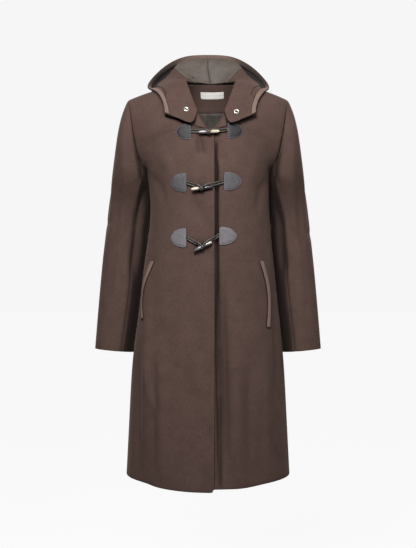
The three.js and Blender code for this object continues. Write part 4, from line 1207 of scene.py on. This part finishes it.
@dataclass
class NeckInside:
    """What shows inside the V: the back neck facing, the body lining and the turned-out front facings."""

    levels: int = 3
    pleat: Fold = Fold(Direction.FRONT, ((2, -36), (2, -125)), 3, -4.0, 0.1)
    sheets: dict[str, Sheet] = field(default_factory=dict)

    def model(self) -> None:
        """Make the pieces finer."""
        self.sheets["neck_facing"] = Sheet("neck_facing", FACING_CLOTH, self.levels, away_from="back")
        self.sheets["back_lining"] = Sheet("back_lining", SATIN, self.levels, away_from="back")
        self.sheets["back_lining"].fold([self.pleat])
        for side in SIDES:
            node = f"front_facing_{side}"
            self.sheets[node] = Sheet(node, FACING_CLOTH, self.levels, away_from=f"front_{side}")

    def dress(self, body: CoatBody, finishes: Finishes) -> None:
        """Give the pieces their thickness."""
        for side in SIDES:
            self.sheets[f"front_facing_{side}"].lie_on([body.sheets[f"front_{side}"]], LYING_GAP)
        kinds = {
            "neck_facing": (finishes.wool_inside, "wool", (0.20, 0.10), 0.0140),
            "back_lining": (finishes.lining, "lining", (0.20, 0.11), 0.0168),
            "front_facing_right": (finishes.wool_inside, "wool", (0.026, 0.030), 0.00055),
            "front_facing_left": (finishes.wool_inside, "wool", (0.026, 0.030), 0.00055),
        }
        for node, sheet in self.sheets.items():
            material, slot, flat, area = kinds[node]
            sheet.finish(material, slot, flat, area, 0.3)


@dataclass
class PocketWelts:
    """Two curved welts, in a copy of the wool coloured paler."""

    levels: int = 3
    crown_mm: float = 1.2
    rise_mm: float = 9.0
    end_share: float = 0.47
    inset_share: float = 0.02

    def build(self, body: CoatBody, finishes: Finishes) -> None:
        """Lay the welts on the fronts, round them and sew them down.

        Args:
            body: the fronts that carry them.
            finishes: the materials.
        """
        for side in SIDES:
            sheet = Sheet(f"welt_{side}", WELT_CLOTH, self.levels, away_from=f"front_{side}")
            sheet.lie_on([body.sheets[f"front_{side}"]], LYING_GAP)
            rim = sheet.points()[sheet.rim_numbers()]
            edge = nearest_distances(sheet.points(), rim, self.rise_mm * MM)
            sheet.store("seam_mm", np.full(len(edge), FAR_FROM_EDGE / MM))
            sheet.store("edge_mm", edge / MM)
            sheet.shift(self.crown_mm * MM * (1 - (1 - edge / (self.rise_mm * MM)) ** 2))
            path = sheet.points()[sheet.rim_path()]
            middle = path.mean(axis=0)
            carrier = tree_of(sheet.obj)
            sheet.finish(finishes.welt, "welt", (0.019, 0.17), 0.0026, 0.6)
            row = StitchRow(f"welt_stitching_{side}", long_mm=2.6, pitch_mm=3.4, thick_mm=0.5)
            ends = np.abs(path[:, 2] - middle[2]) > self.end_share * np.ptp(path[:, 2])
            inward = path + (middle - path) * self.inset_share
            row.follow(inward[ends], carrier)
            row.build(finishes.thread)


def solid_axis(node: str) -> tuple[np.ndarray, np.ndarray, np.ndarray]:
    """The middle and axes of a turned CAD node.

    Args:
        node: the node's name.

    Returns:
        Its middle, its axes from the longest to the shortest, and its half lengths on them.
    """
    points, _ = merged_triangles(node)
    lo, hi = (np.array(corner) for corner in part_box(node))
    middle = (lo + hi) / 2
    axes = np.linalg.svd(points - points.mean(axis=0))[2]
    return middle, axes, np.abs((points - middle) @ axes.T).max(axis=0)


def turned_object(name: str, profile: list[tuple[float, float]], sides: int) -> bpy.types.Object:
    """Turn a solid on the Z axis: a disc is drawn out and sized again and again.

    Args:
        name: the piece's name.
        profile: radius and height of each ring, in metres.
        sides: sides of each ring.

    Returns:
        The object, on the Z axis.
    """
    bpy.ops.object.select_all(action="DESELECT")
    radius, height = profile[0]
    foot = (0, 0, height)
    bpy.ops.mesh.primitive_circle_add(vertices=sides, radius=radius, fill_type="NGON", location=foot)
    obj = bpy.context.active_object
    obj.name = name
    bpy.ops.object.transform_apply(location=True, rotation=False, scale=False)
    bpy.ops.object.mode_set(mode="EDIT")
    for wider, higher in profile[1:]:
        rise = {"value": (0, 0, higher - height)}
        bpy.ops.mesh.extrude_region_move(TRANSFORM_OT_translate=rise)
        share = wider / radius
        bpy.ops.transform.resize(value=(share, share, 1), center_override=(0, 0, higher))
        radius, height = wider, higher
    bpy.ops.mesh.select_all(action="SELECT")
    bpy.ops.mesh.normals_make_consistent(inside=False)
    bpy.ops.object.mode_set(mode="OBJECT")
    return obj


def place_mesh(obj: bpy.types.Object, middle: np.ndarray, axis: np.ndarray) -> None:
    """Turn a mesh's Z axis to a direction and move it, with its object left at the origin."""
    turn = Vector(axis).to_track_quat("Z", "Y").to_matrix().to_4x4()
    turn.translation = Vector(middle)
    obj.data.transform(turn)
    obj.data.update()


@dataclass
class ToggleFastening:
    """Three rows of horn toggles with waxed cords under leather patches.

    Attributes:
        levels: how many times each cell of a patch is halved.
        patch_inset_mm: distance of the stitching from a patch's edge.
        horn_tones_with_painted_light: each toggle's colours from its right end to its left end. Their pale
            stops are partly painted highlights, and the dark band in the first toggle's middle is painted
            shade at its cord holes.
        half_toggle: height and radius of each ring from the waist to an end, as shares.
        cord_mm: diameter of a strand.
        strands_mm: how far along a cord its braid repeats.
        cord_sides: sides of a cord's ring.
        waist_mm: half the distance between the two cords at a toggle's waist.
        waist_back_mm: how far the cords' path starts behind the toggle's middle.
        tucked_mm: how far a cord goes under its patch.
        cord_path: share of the way from patch to waist, height beside the cord's line, and lift.
    """

    levels: int = 3
    patch_inset_mm: float = 2.53
    horn_tones_with_painted_light: tuple[Stops, ...] = (
        # Pale stops are partly painted highlights; the first toggle's dark middle is painted shade at its
        # cord holes.
        ((0.0, "85827e"), (0.3, "7b7771"), (0.42, "262322"), (0.54, "a3937d"), (1.0, "dccfb8")),
        ((0.0, "d3c8b4"), (0.2, "b5a994"), (0.32, "474643"), (1.0, "3a3b3c")),
        ((0.0, "4c4b4a"), (0.3, "7b7a78"), (0.8, "686765"), (0.9, "8b8883"), (1.0, "cdc8be")),
    )
    half_toggle: tuple[tuple[float, float], ...] = (
        (0.05, 0.84), (0.12, 0.88), (0.17, 0.96), (0.24, 1.0), (0.4, 1.0), (0.54, 0.97),
        (0.72, 0.89), (0.86, 0.81), (0.95, 0.69), (0.99, 0.52), (1.0, 0.36),
    )
    cord_mm: float = 3.0
    strands_mm: float = 5.2
    cord_sides: int = 20
    waist_mm: float = 2.1
    waist_back_mm: float = 9.0
    tucked_mm: float = 0.9
    cord_path: tuple[tuple[float, float, float], ...] = (
        (0.0, 2.6, 2.6),
        (0.4, 3.4, 7.5),
        (0.8, 5.2, 13.5),
        (1.0, 1.5, 15.0),
        (1.0, -4.6, 13.4),
        (1.0, -6.4, 9.0),
        (1.0, -4.3, 4.4),
        (0.94, 0.5, 3.0),
        (0.6, -1.6, 3.2),
        (0.0, -2.6, 2.6),
    )

    def patches(self, body: CoatBody, finishes: Finishes) -> None:
        """Lay the leather patches on the fronts and stitch round them."""
        leathers = {1: finishes.leather_dark, 2: finishes.leather, 3: finishes.leather_pale}
        for row in ROWS:
            for side in SIDES:
                node = f"patch_{row}_{side}"
                sheet = Sheet(node, LEATHER, self.levels, f"front_{side}", round_corners=True)
                sheet.lie_on([body.sheets[f"front_{side}"]], LYING_GAP)
                rim_points = sheet.points()[sheet.rim_numbers()]
                edge = nearest_distances(sheet.points(), rim_points, FAR_FROM_EDGE)
                sheet.store("edge_mm", edge / MM)
                puff = 0.9 * (1 - np.exp(-((edge / (3.5 * MM)) ** 2)))
                groove = 0.5 * np.exp(-(((edge - 2.2 * MM) / (0.9 * MM)) ** 2))
                sheet.shift((puff - groove) * MM)
                path = sheet.points()[sheet.rim_path()]
                middle = path.mean(axis=0)
                carrier = tree_of(sheet.obj)
                ways = middle - path
                lengths = np.linalg.norm(ways, axis=1)[:, None]
                inward = path + ways / lengths * self.patch_inset_mm * MM
                sheet.finish(leathers[row], "leather", (0.045, 0.047), 0.0014, 0.5)
                name = f"patch_stitching_{row}_{side}"
                stitches = StitchRow(name, long_mm=2.2, pitch_mm=2.9, thick_mm=0.55)
                stitches.follow(inward[:-1], carrier, closed=True)
                stitches.build(finishes.thread_grey)

    def toggles(self) -> None:
        """Turn the toggles from horn."""
        other_half = [(-place, share) for place, share in reversed(self.half_toggle)]
        for row in ROWS:
            middle, axes, halves = solid_axis(f"toggle_{row}")
            axis = axes[0] * np.sign(axes[0][0])
            half, thick = halves[0], halves[1]
            rings = [(thick * share, half * place) for place, share in (*other_half, *self.half_toggle)]
            obj = turned_object(f"toggle_{row}_horn", rings, 32)
            apply_modifier(obj, "SUBSURF", levels=1, render_levels=1)
            heights = as_points(obj.data.vertices, "co")[:, 2]
            store_values(obj, "along", (heights / half + 1) / 2)
            place_mesh(obj, middle, axis)
            obj.data.materials.append(Horn(f"polished_horn_{row}", self.horn_tones_with_painted_light[row - 1]).build())
            smooth(obj)
            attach(obj, "root")
            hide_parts(f"toggle_{row}")
            LOG.info("%s: %d faces", obj.name, len(obj.data.polygons))

    def cords(self, body: CoatBody, finishes: Finishes) -> None:
        """Lay the cords from each patch round its toggle's waist and back."""
        trees = [tree_of(body.sheets[f"front_{side}"].obj) for side in SIDES]

        def ground(x: float, z: float) -> float:
            """The depth of the frontmost cloth near a place."""
            starts = [Vector((x + step * MM, IN_FRONT, z)) for step in (-9, 0, 9)]
            hits = [tree.ray_cast(start, Vector((0, 1, 0)))[0] for tree in trees for start in starts]
            return min(hit.y for hit in hits if hit)

        for row in ROWS:
            middle, axes, _ = solid_axis(f"toggle_{row}")
            slope = axes[0][2] / axes[0][0]
            for side, sign in (("right", -1), ("left", 1)):
                low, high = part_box(f"patch_{row}_{side}")
                start_x = (high.x if side == "right" else low.x) - sign * self.tucked_mm * MM
                node_points, _ = merged_triangles(f"cord_{row}_{side}")
                at_patch = node_points[np.abs(node_points[:, 0] - start_x) < 2.5 * MM]
                start_z = (at_patch[:, 2].min() + at_patch[:, 2].max()) / 2
                beside = sign * self.waist_mm * MM
                waist_x, waist_z = middle[0] + beside, middle[2] + slope * beside
                waist_y = middle[1] + self.waist_back_mm * MM
                points = []
                for along, up, lift in self.cord_path:
                    x = start_x + (waist_x - start_x) * along
                    z = start_z + (waist_z - start_z) * along + up * MM
                    y = waist_y if along > 0.9 else ground(x, z)
                    points.append((x, y - lift * MM, z))
                self.strand(f"cord_{row}_{side}_waxed", np.array(points), f"cord_{row}_{side}", finishes)

    def strand(self, name: str, route: np.ndarray, node: str, finishes: Finishes) -> None:
        """Make one braided cord along a route.

        Args:
            name: the piece's name.
            route: the points that it passes through.
            node: the CAD node that it stands for.
            finishes: the materials.
        """
        path = smooth_path(route, 0.7 * MM)
        tangents = np.gradient(path, axis=0)
        tangents /= np.linalg.norm(tangents, axis=1)[:, None]
        side = np.cross(tangents[0], (0, 0, 1))
        count = self.cord_sides
        angles = np.arange(count) * 2 * math.pi / count
        run = run_along(path)
        points, crowns = [], []
        for spot, tangent, place in zip(path, tangents, run):
            side = side - tangent * (side @ tangent)
            side /= np.linalg.norm(side)
            up = np.cross(tangent, side)
            turn = place / (self.strands_mm * MM) * 2 * math.pi
            braid = np.maximum(np.cos(2 * angles + turn), np.cos(2 * angles - turn))
            radius = self.cord_mm / 2 * MM * (0.93 + 0.12 * braid)
            points += [spot + r * (math.cos(a) * side + math.sin(a) * up) for r, a in zip(radius, angles)]
            # These values make the braid's crowns lighter in colour, a painted highlight, and its hollows
            # darker, painted shade.
            crowns += list(0.5 + 0.5 * braid)
        faces = []
        for ring in range(len(path) - 1):
            for k in range(count):
                a, b = ring * count + k, ring * count + (k + 1) % count
                faces.append([a, b, b + count, a + count])
        faces.append(list(range(count))[::-1])
        faces.append(list(range(len(points) - count, len(points))))
        obj = mesh_object(name, np.array(points), faces)
        store_values(obj, "crown_painted_light", crowns)
        obj.data.materials.append(finishes.cord)
        only_select(obj)
        bpy.ops.object.mode_set(mode="EDIT")
        bpy.ops.mesh.select_all(action="SELECT")
        bpy.ops.mesh.normals_make_consistent(inside=False)
        bpy.ops.object.mode_set(mode="OBJECT")
        bpy.ops.object.shade_smooth()
        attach(obj, "root")
        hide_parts(node)
        LOG.info("%s: %.0f mm of cord", name, run[-1] / MM)


def smooth_path(route: np.ndarray, step: float) -> np.ndarray:
    """A smooth curve through points, sampled evenly.

    Args:
        route: the points.
        step: distance between samples.

    Returns:
        The samples.
    """
    padded = np.concatenate([[2 * route[0] - route[1]], route, [2 * route[-1] - route[-2]]])
    fine = []
    for i in range(len(route) - 1):
        a, b, c, d = padded[i:i + 4]
        for t in np.linspace(0, 1, 24, endpoint=False):
            fine.append(0.5 * (2 * b + (c - a) * t + (2 * a - 5 * b + 4 * c - d) * t * t
                               + (3 * b - a - 3 * c + d) * t ** 3))
    fine = np.array(fine + [route[-1]])
    run = run_along(fine)
    at = np.linspace(0, run[-1], max(3, int(run[-1] / step)))
    return np.stack([np.interp(at, run, fine[:, k]) for k in range(3)], axis=1)


@dataclass
class ThroatStuds:
    """Two open press studs on the throat of the hood.

    Attributes:
        rings: radius and height of each ring, as shares of the stud's own.
        socket_share: radius of the socket, darkened as painted shade, as a share of the stud's.
    """

    rings: tuple[tuple[float, float], ...] = (
        (0.90, -0.02), (0.99, 0.12), (1.0, 0.35), (0.95, 0.66), (0.84, 0.88), (0.72, 0.92), (0.62, 0.80),
        (0.56, 0.62), (0.52, 0.66), (0.46, 0.72), (0.40, 0.62), (0.34, 0.35), (0.30, 0.12), (0.2, 0.1),
    )
    socket_share: float = 0.5

    def build(self, hood: Hood, finishes: Finishes) -> None:
        """Press the studs into the facings."""
        for side in SIDES:
            middle, axes, halves = solid_axis(f"stud_{side}")
            radius, high = halves[0], 2 * halves[2]
            axis = axes[2] if axes[2][1] < 0 else -axes[2]
            rings = [(radius * wide, high * up) for wide, up in self.rings]
            carrier = tree_of(hood.sheets[f"hood_facing_{side}"].obj)
            spot, normal, _, _ = carrier.find_nearest(Vector(middle))
            obj = turned_object(f"press_stud_{side}", rings, 40)
            obj.data.materials.append(finishes.metal)
            obj.data.materials.append(finishes.socket)
            # Painted shade: the socket's inner faces take the darkened plate.
            for face in obj.data.polygons:
                inside = math.hypot(*face.center[:2]) < self.socket_share * radius
                if inside and face.center.z > 0.03 * high:
                    face.material_index = 1
            place_mesh(obj, np.array(spot), np.array(normal) if normal.dot(Vector(axis)) > 0 else axis)
            smooth(obj)
            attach(obj, "root")
            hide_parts(f"stud_{side}")
            LOG.info("%s: %d faces", obj.name, len(obj.data.polygons))


@dataclass
class NeckLabel:
    """A bare woven label, sewn at its two ends."""

    def build(self, neck: NeckInside, finishes: Finishes) -> None:
        """Lay the label on the back neck facing and sew it."""
        sheet = Sheet("neck_label", TAPE, 3, away_from="neck_facing")
        path = sheet.points()[sheet.rim_path()]
        carrier = tree_of(sheet.obj)
        sheet.finish(finishes.tape, "label", (0.060, 0.0165), 0.00099, 0.15)
        row = StitchRow("label_stitching", long_mm=1.6, pitch_mm=2.4, thick_mm=0.4)
        middle = path.mean(axis=0)
        reach = path[:, 0].max() - middle[0]
        for sign in (-1, 1):
            end = path[(path[:, 0] - middle[0]) * sign > 0.97 * reach]
            end = end[np.argsort(end[:, 2])]
            row.follow(end - np.array([sign * 1.5 * MM, 0, 0]), carrier)
        row.build(finishes.thread)


@dataclass
class Studio:
    """Camera, plain pale floor and soft light.

    Attributes:
        distance: from the camera to the coat's middle plane.
        height: of the camera, level with the middle of the picture.
        frame_height: what the picture shows at the coat, in metres.
        sensor: width of the camera's sensor, in millimetres.
        lamps: name, place, side in metres and power in watts of each lamp.
        lamp_spread: angle that a lamp's light opens to, in degrees.
        aim: height that the lamps point at.
        floor_height: height of the floor, below the picture.
        room_strength: strength of the even light on the coat.
        paper: tone that the camera sees behind the coat.
    """

    distance: float = 3.0
    height: float = -0.4514
    frame_height: float = 1.359
    sensor: float = 36.0
    lamps: tuple[tuple[str, tuple[float, float, float], float, float], ...] = (
        ("key", (-0.35, -2.2, 1.25), 0.9, 17.5),
        ("fill", (1.2, -2.7, 0.7), 1.4, 5.5),
        ("rear_right", (-1.6, 2.4, 0.9), 1.4, 8.0),
        ("rear_left", (1.6, 2.4, 0.9), 1.4, 8.0),
    )
    lamp_spread: float = 76.0
    aim: float = -0.26
    floor_height: float = -1.5
    room_strength: float = 0.13
    paper: str = "f6f6f6"

    def build(self) -> None:
        """Make the camera, floor and lights."""
        camera_data = bpy.data.cameras.new("camera")
        camera_data.sensor_width = self.sensor
        camera_data.lens = self.sensor * self.distance / self.frame_height
        camera = bpy.data.objects.new("camera", camera_data)
        camera.location = (0, -self.distance, self.height)
        camera.rotation_euler = (math.pi / 2, 0, 0)
        bpy.context.scene.collection.objects.link(camera)
        bpy.context.scene.camera = camera
        bpy.context.scene.view_settings.view_transform = "Standard"
        self.floor()
        for name, place, size, power in self.lamps:
            self.light(name, place, size, power)
        self.room()

    def light(self, name: str, place: tuple, size: float, power: float) -> None:
        """Add a large soft lamp that points at the coat's middle.

        Args:
            name: the lamp's name.
            place: where it stands.
            size: the side of its square.
            power: in watts.
        """
        data = bpy.data.lights.new(name, "AREA")
        data.size = size
        data.spread = math.radians(self.lamp_spread)
        data.energy = power
        lamp = bpy.data.objects.new(name, data)
        lamp.location = place
        lamp.rotation_mode = "QUATERNION"
        lamp.rotation_quaternion = (Vector((0, 0, self.aim)) - Vector(place)).to_track_quat("-Z", "Y")
        bpy.context.scene.collection.objects.link(lamp)

    def floor(self) -> None:
        """A wide floor: grey to the lamps' light, and of the paper's even tone where the camera sees it."""
        bpy.ops.object.select_all(action="DESELECT")
        bpy.ops.mesh.primitive_plane_add(size=60, location=(0, 0, self.floor_height))
        plane = bpy.context.active_object
        plane.name = "floor"
        bpy.ops.object.transform_apply(location=True, rotation=False, scale=False)
        shader = {"Roughness": 0.9, "Specular IOR Level": 0.0, "Emission Color": linear(self.paper)}
        material, tree, principled = new_material("backlit_floor", shader)
        add = partial(add_node, tree)
        place = add("TexCoord", {}).outputs["Object"]
        grain = add("TexNoise", grains(place, 0.05, 2)).outputs["Fac"]
        colour = add("ValToRGB", {"Fac": grain}, ((0.0, "585858"), (1.0, "5c5c5c"))).outputs["Color"]
        seen = add("LightPath", {}).outputs["Is Camera Ray"]
        wire(tree, principled, {"Base Color": colour, "Emission Strength": seen})
        plane.data.materials.append(material)

    def room(self) -> None:
        """A soft room: weak, even light on the coat, and the floor's own tone where the camera sees it."""
        world = bpy.data.worlds.new("soft_room")
        bpy.context.scene.world = world
        world.use_nodes = True
        tree = world.node_tree
        tree.nodes.clear()
        add = partial(add_node, tree)
        seen = add("LightPath", {}).outputs["Is Camera Ray"]
        soft = add("Background", {"Color": (1, 1, 1, 1), "Strength": self.room_strength}).outputs[0]
        paper = add("Background", {"Color": linear(self.paper), "Strength": 1.0}).outputs[0]
        mixed = add("MixShader", {0: seen, 1: soft, 2: paper})
        add("OutputWorld", {"Surface": mixed.outputs[0]})


def main() -> None:
    """Build the coat and its studio."""
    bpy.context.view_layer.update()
    Studio().build()
    finishes = Finishes()
    body, sleeves, hood, neck = CoatBody(), Sleeves(), Hood(), NeckInside()
    for part in (body, sleeves, hood, neck):
        part.model()
    outer = [*body.sheets.values(), *sleeves.sheets.values()]
    mark_seams(outer + [sheet for node, sheet in hood.sheets.items() if node in ("hood_right", "hood_left")])
    mark_seams([sheet for node, sheet in hood.sheets.items() if "facing" in node or "lining" in node])
    mark_seams([sheet for node, sheet in hood.sheets.items() if "rim" in node])
    mark_seams([neck.sheets["neck_facing"], neck.sheets["back_lining"]])
    mark_seams([neck.sheets["front_facing_right"], neck.sheets["front_facing_left"]])
    fasteners = ToggleFastening()
    fasteners.patches(body, finishes)
    fasteners.toggles()
    fasteners.cords(body, finishes)
    body.press_edge()
    PocketWelts().build(body, finishes)
    ThroatStuds().build(hood, finishes)
    NeckLabel().build(neck, finishes)
    neck.dress(body, finishes)
    hood.dress(finishes)
    sleeves.dress(finishes)
    body.dress(finishes)


if __name__ == "__main__":
    main()
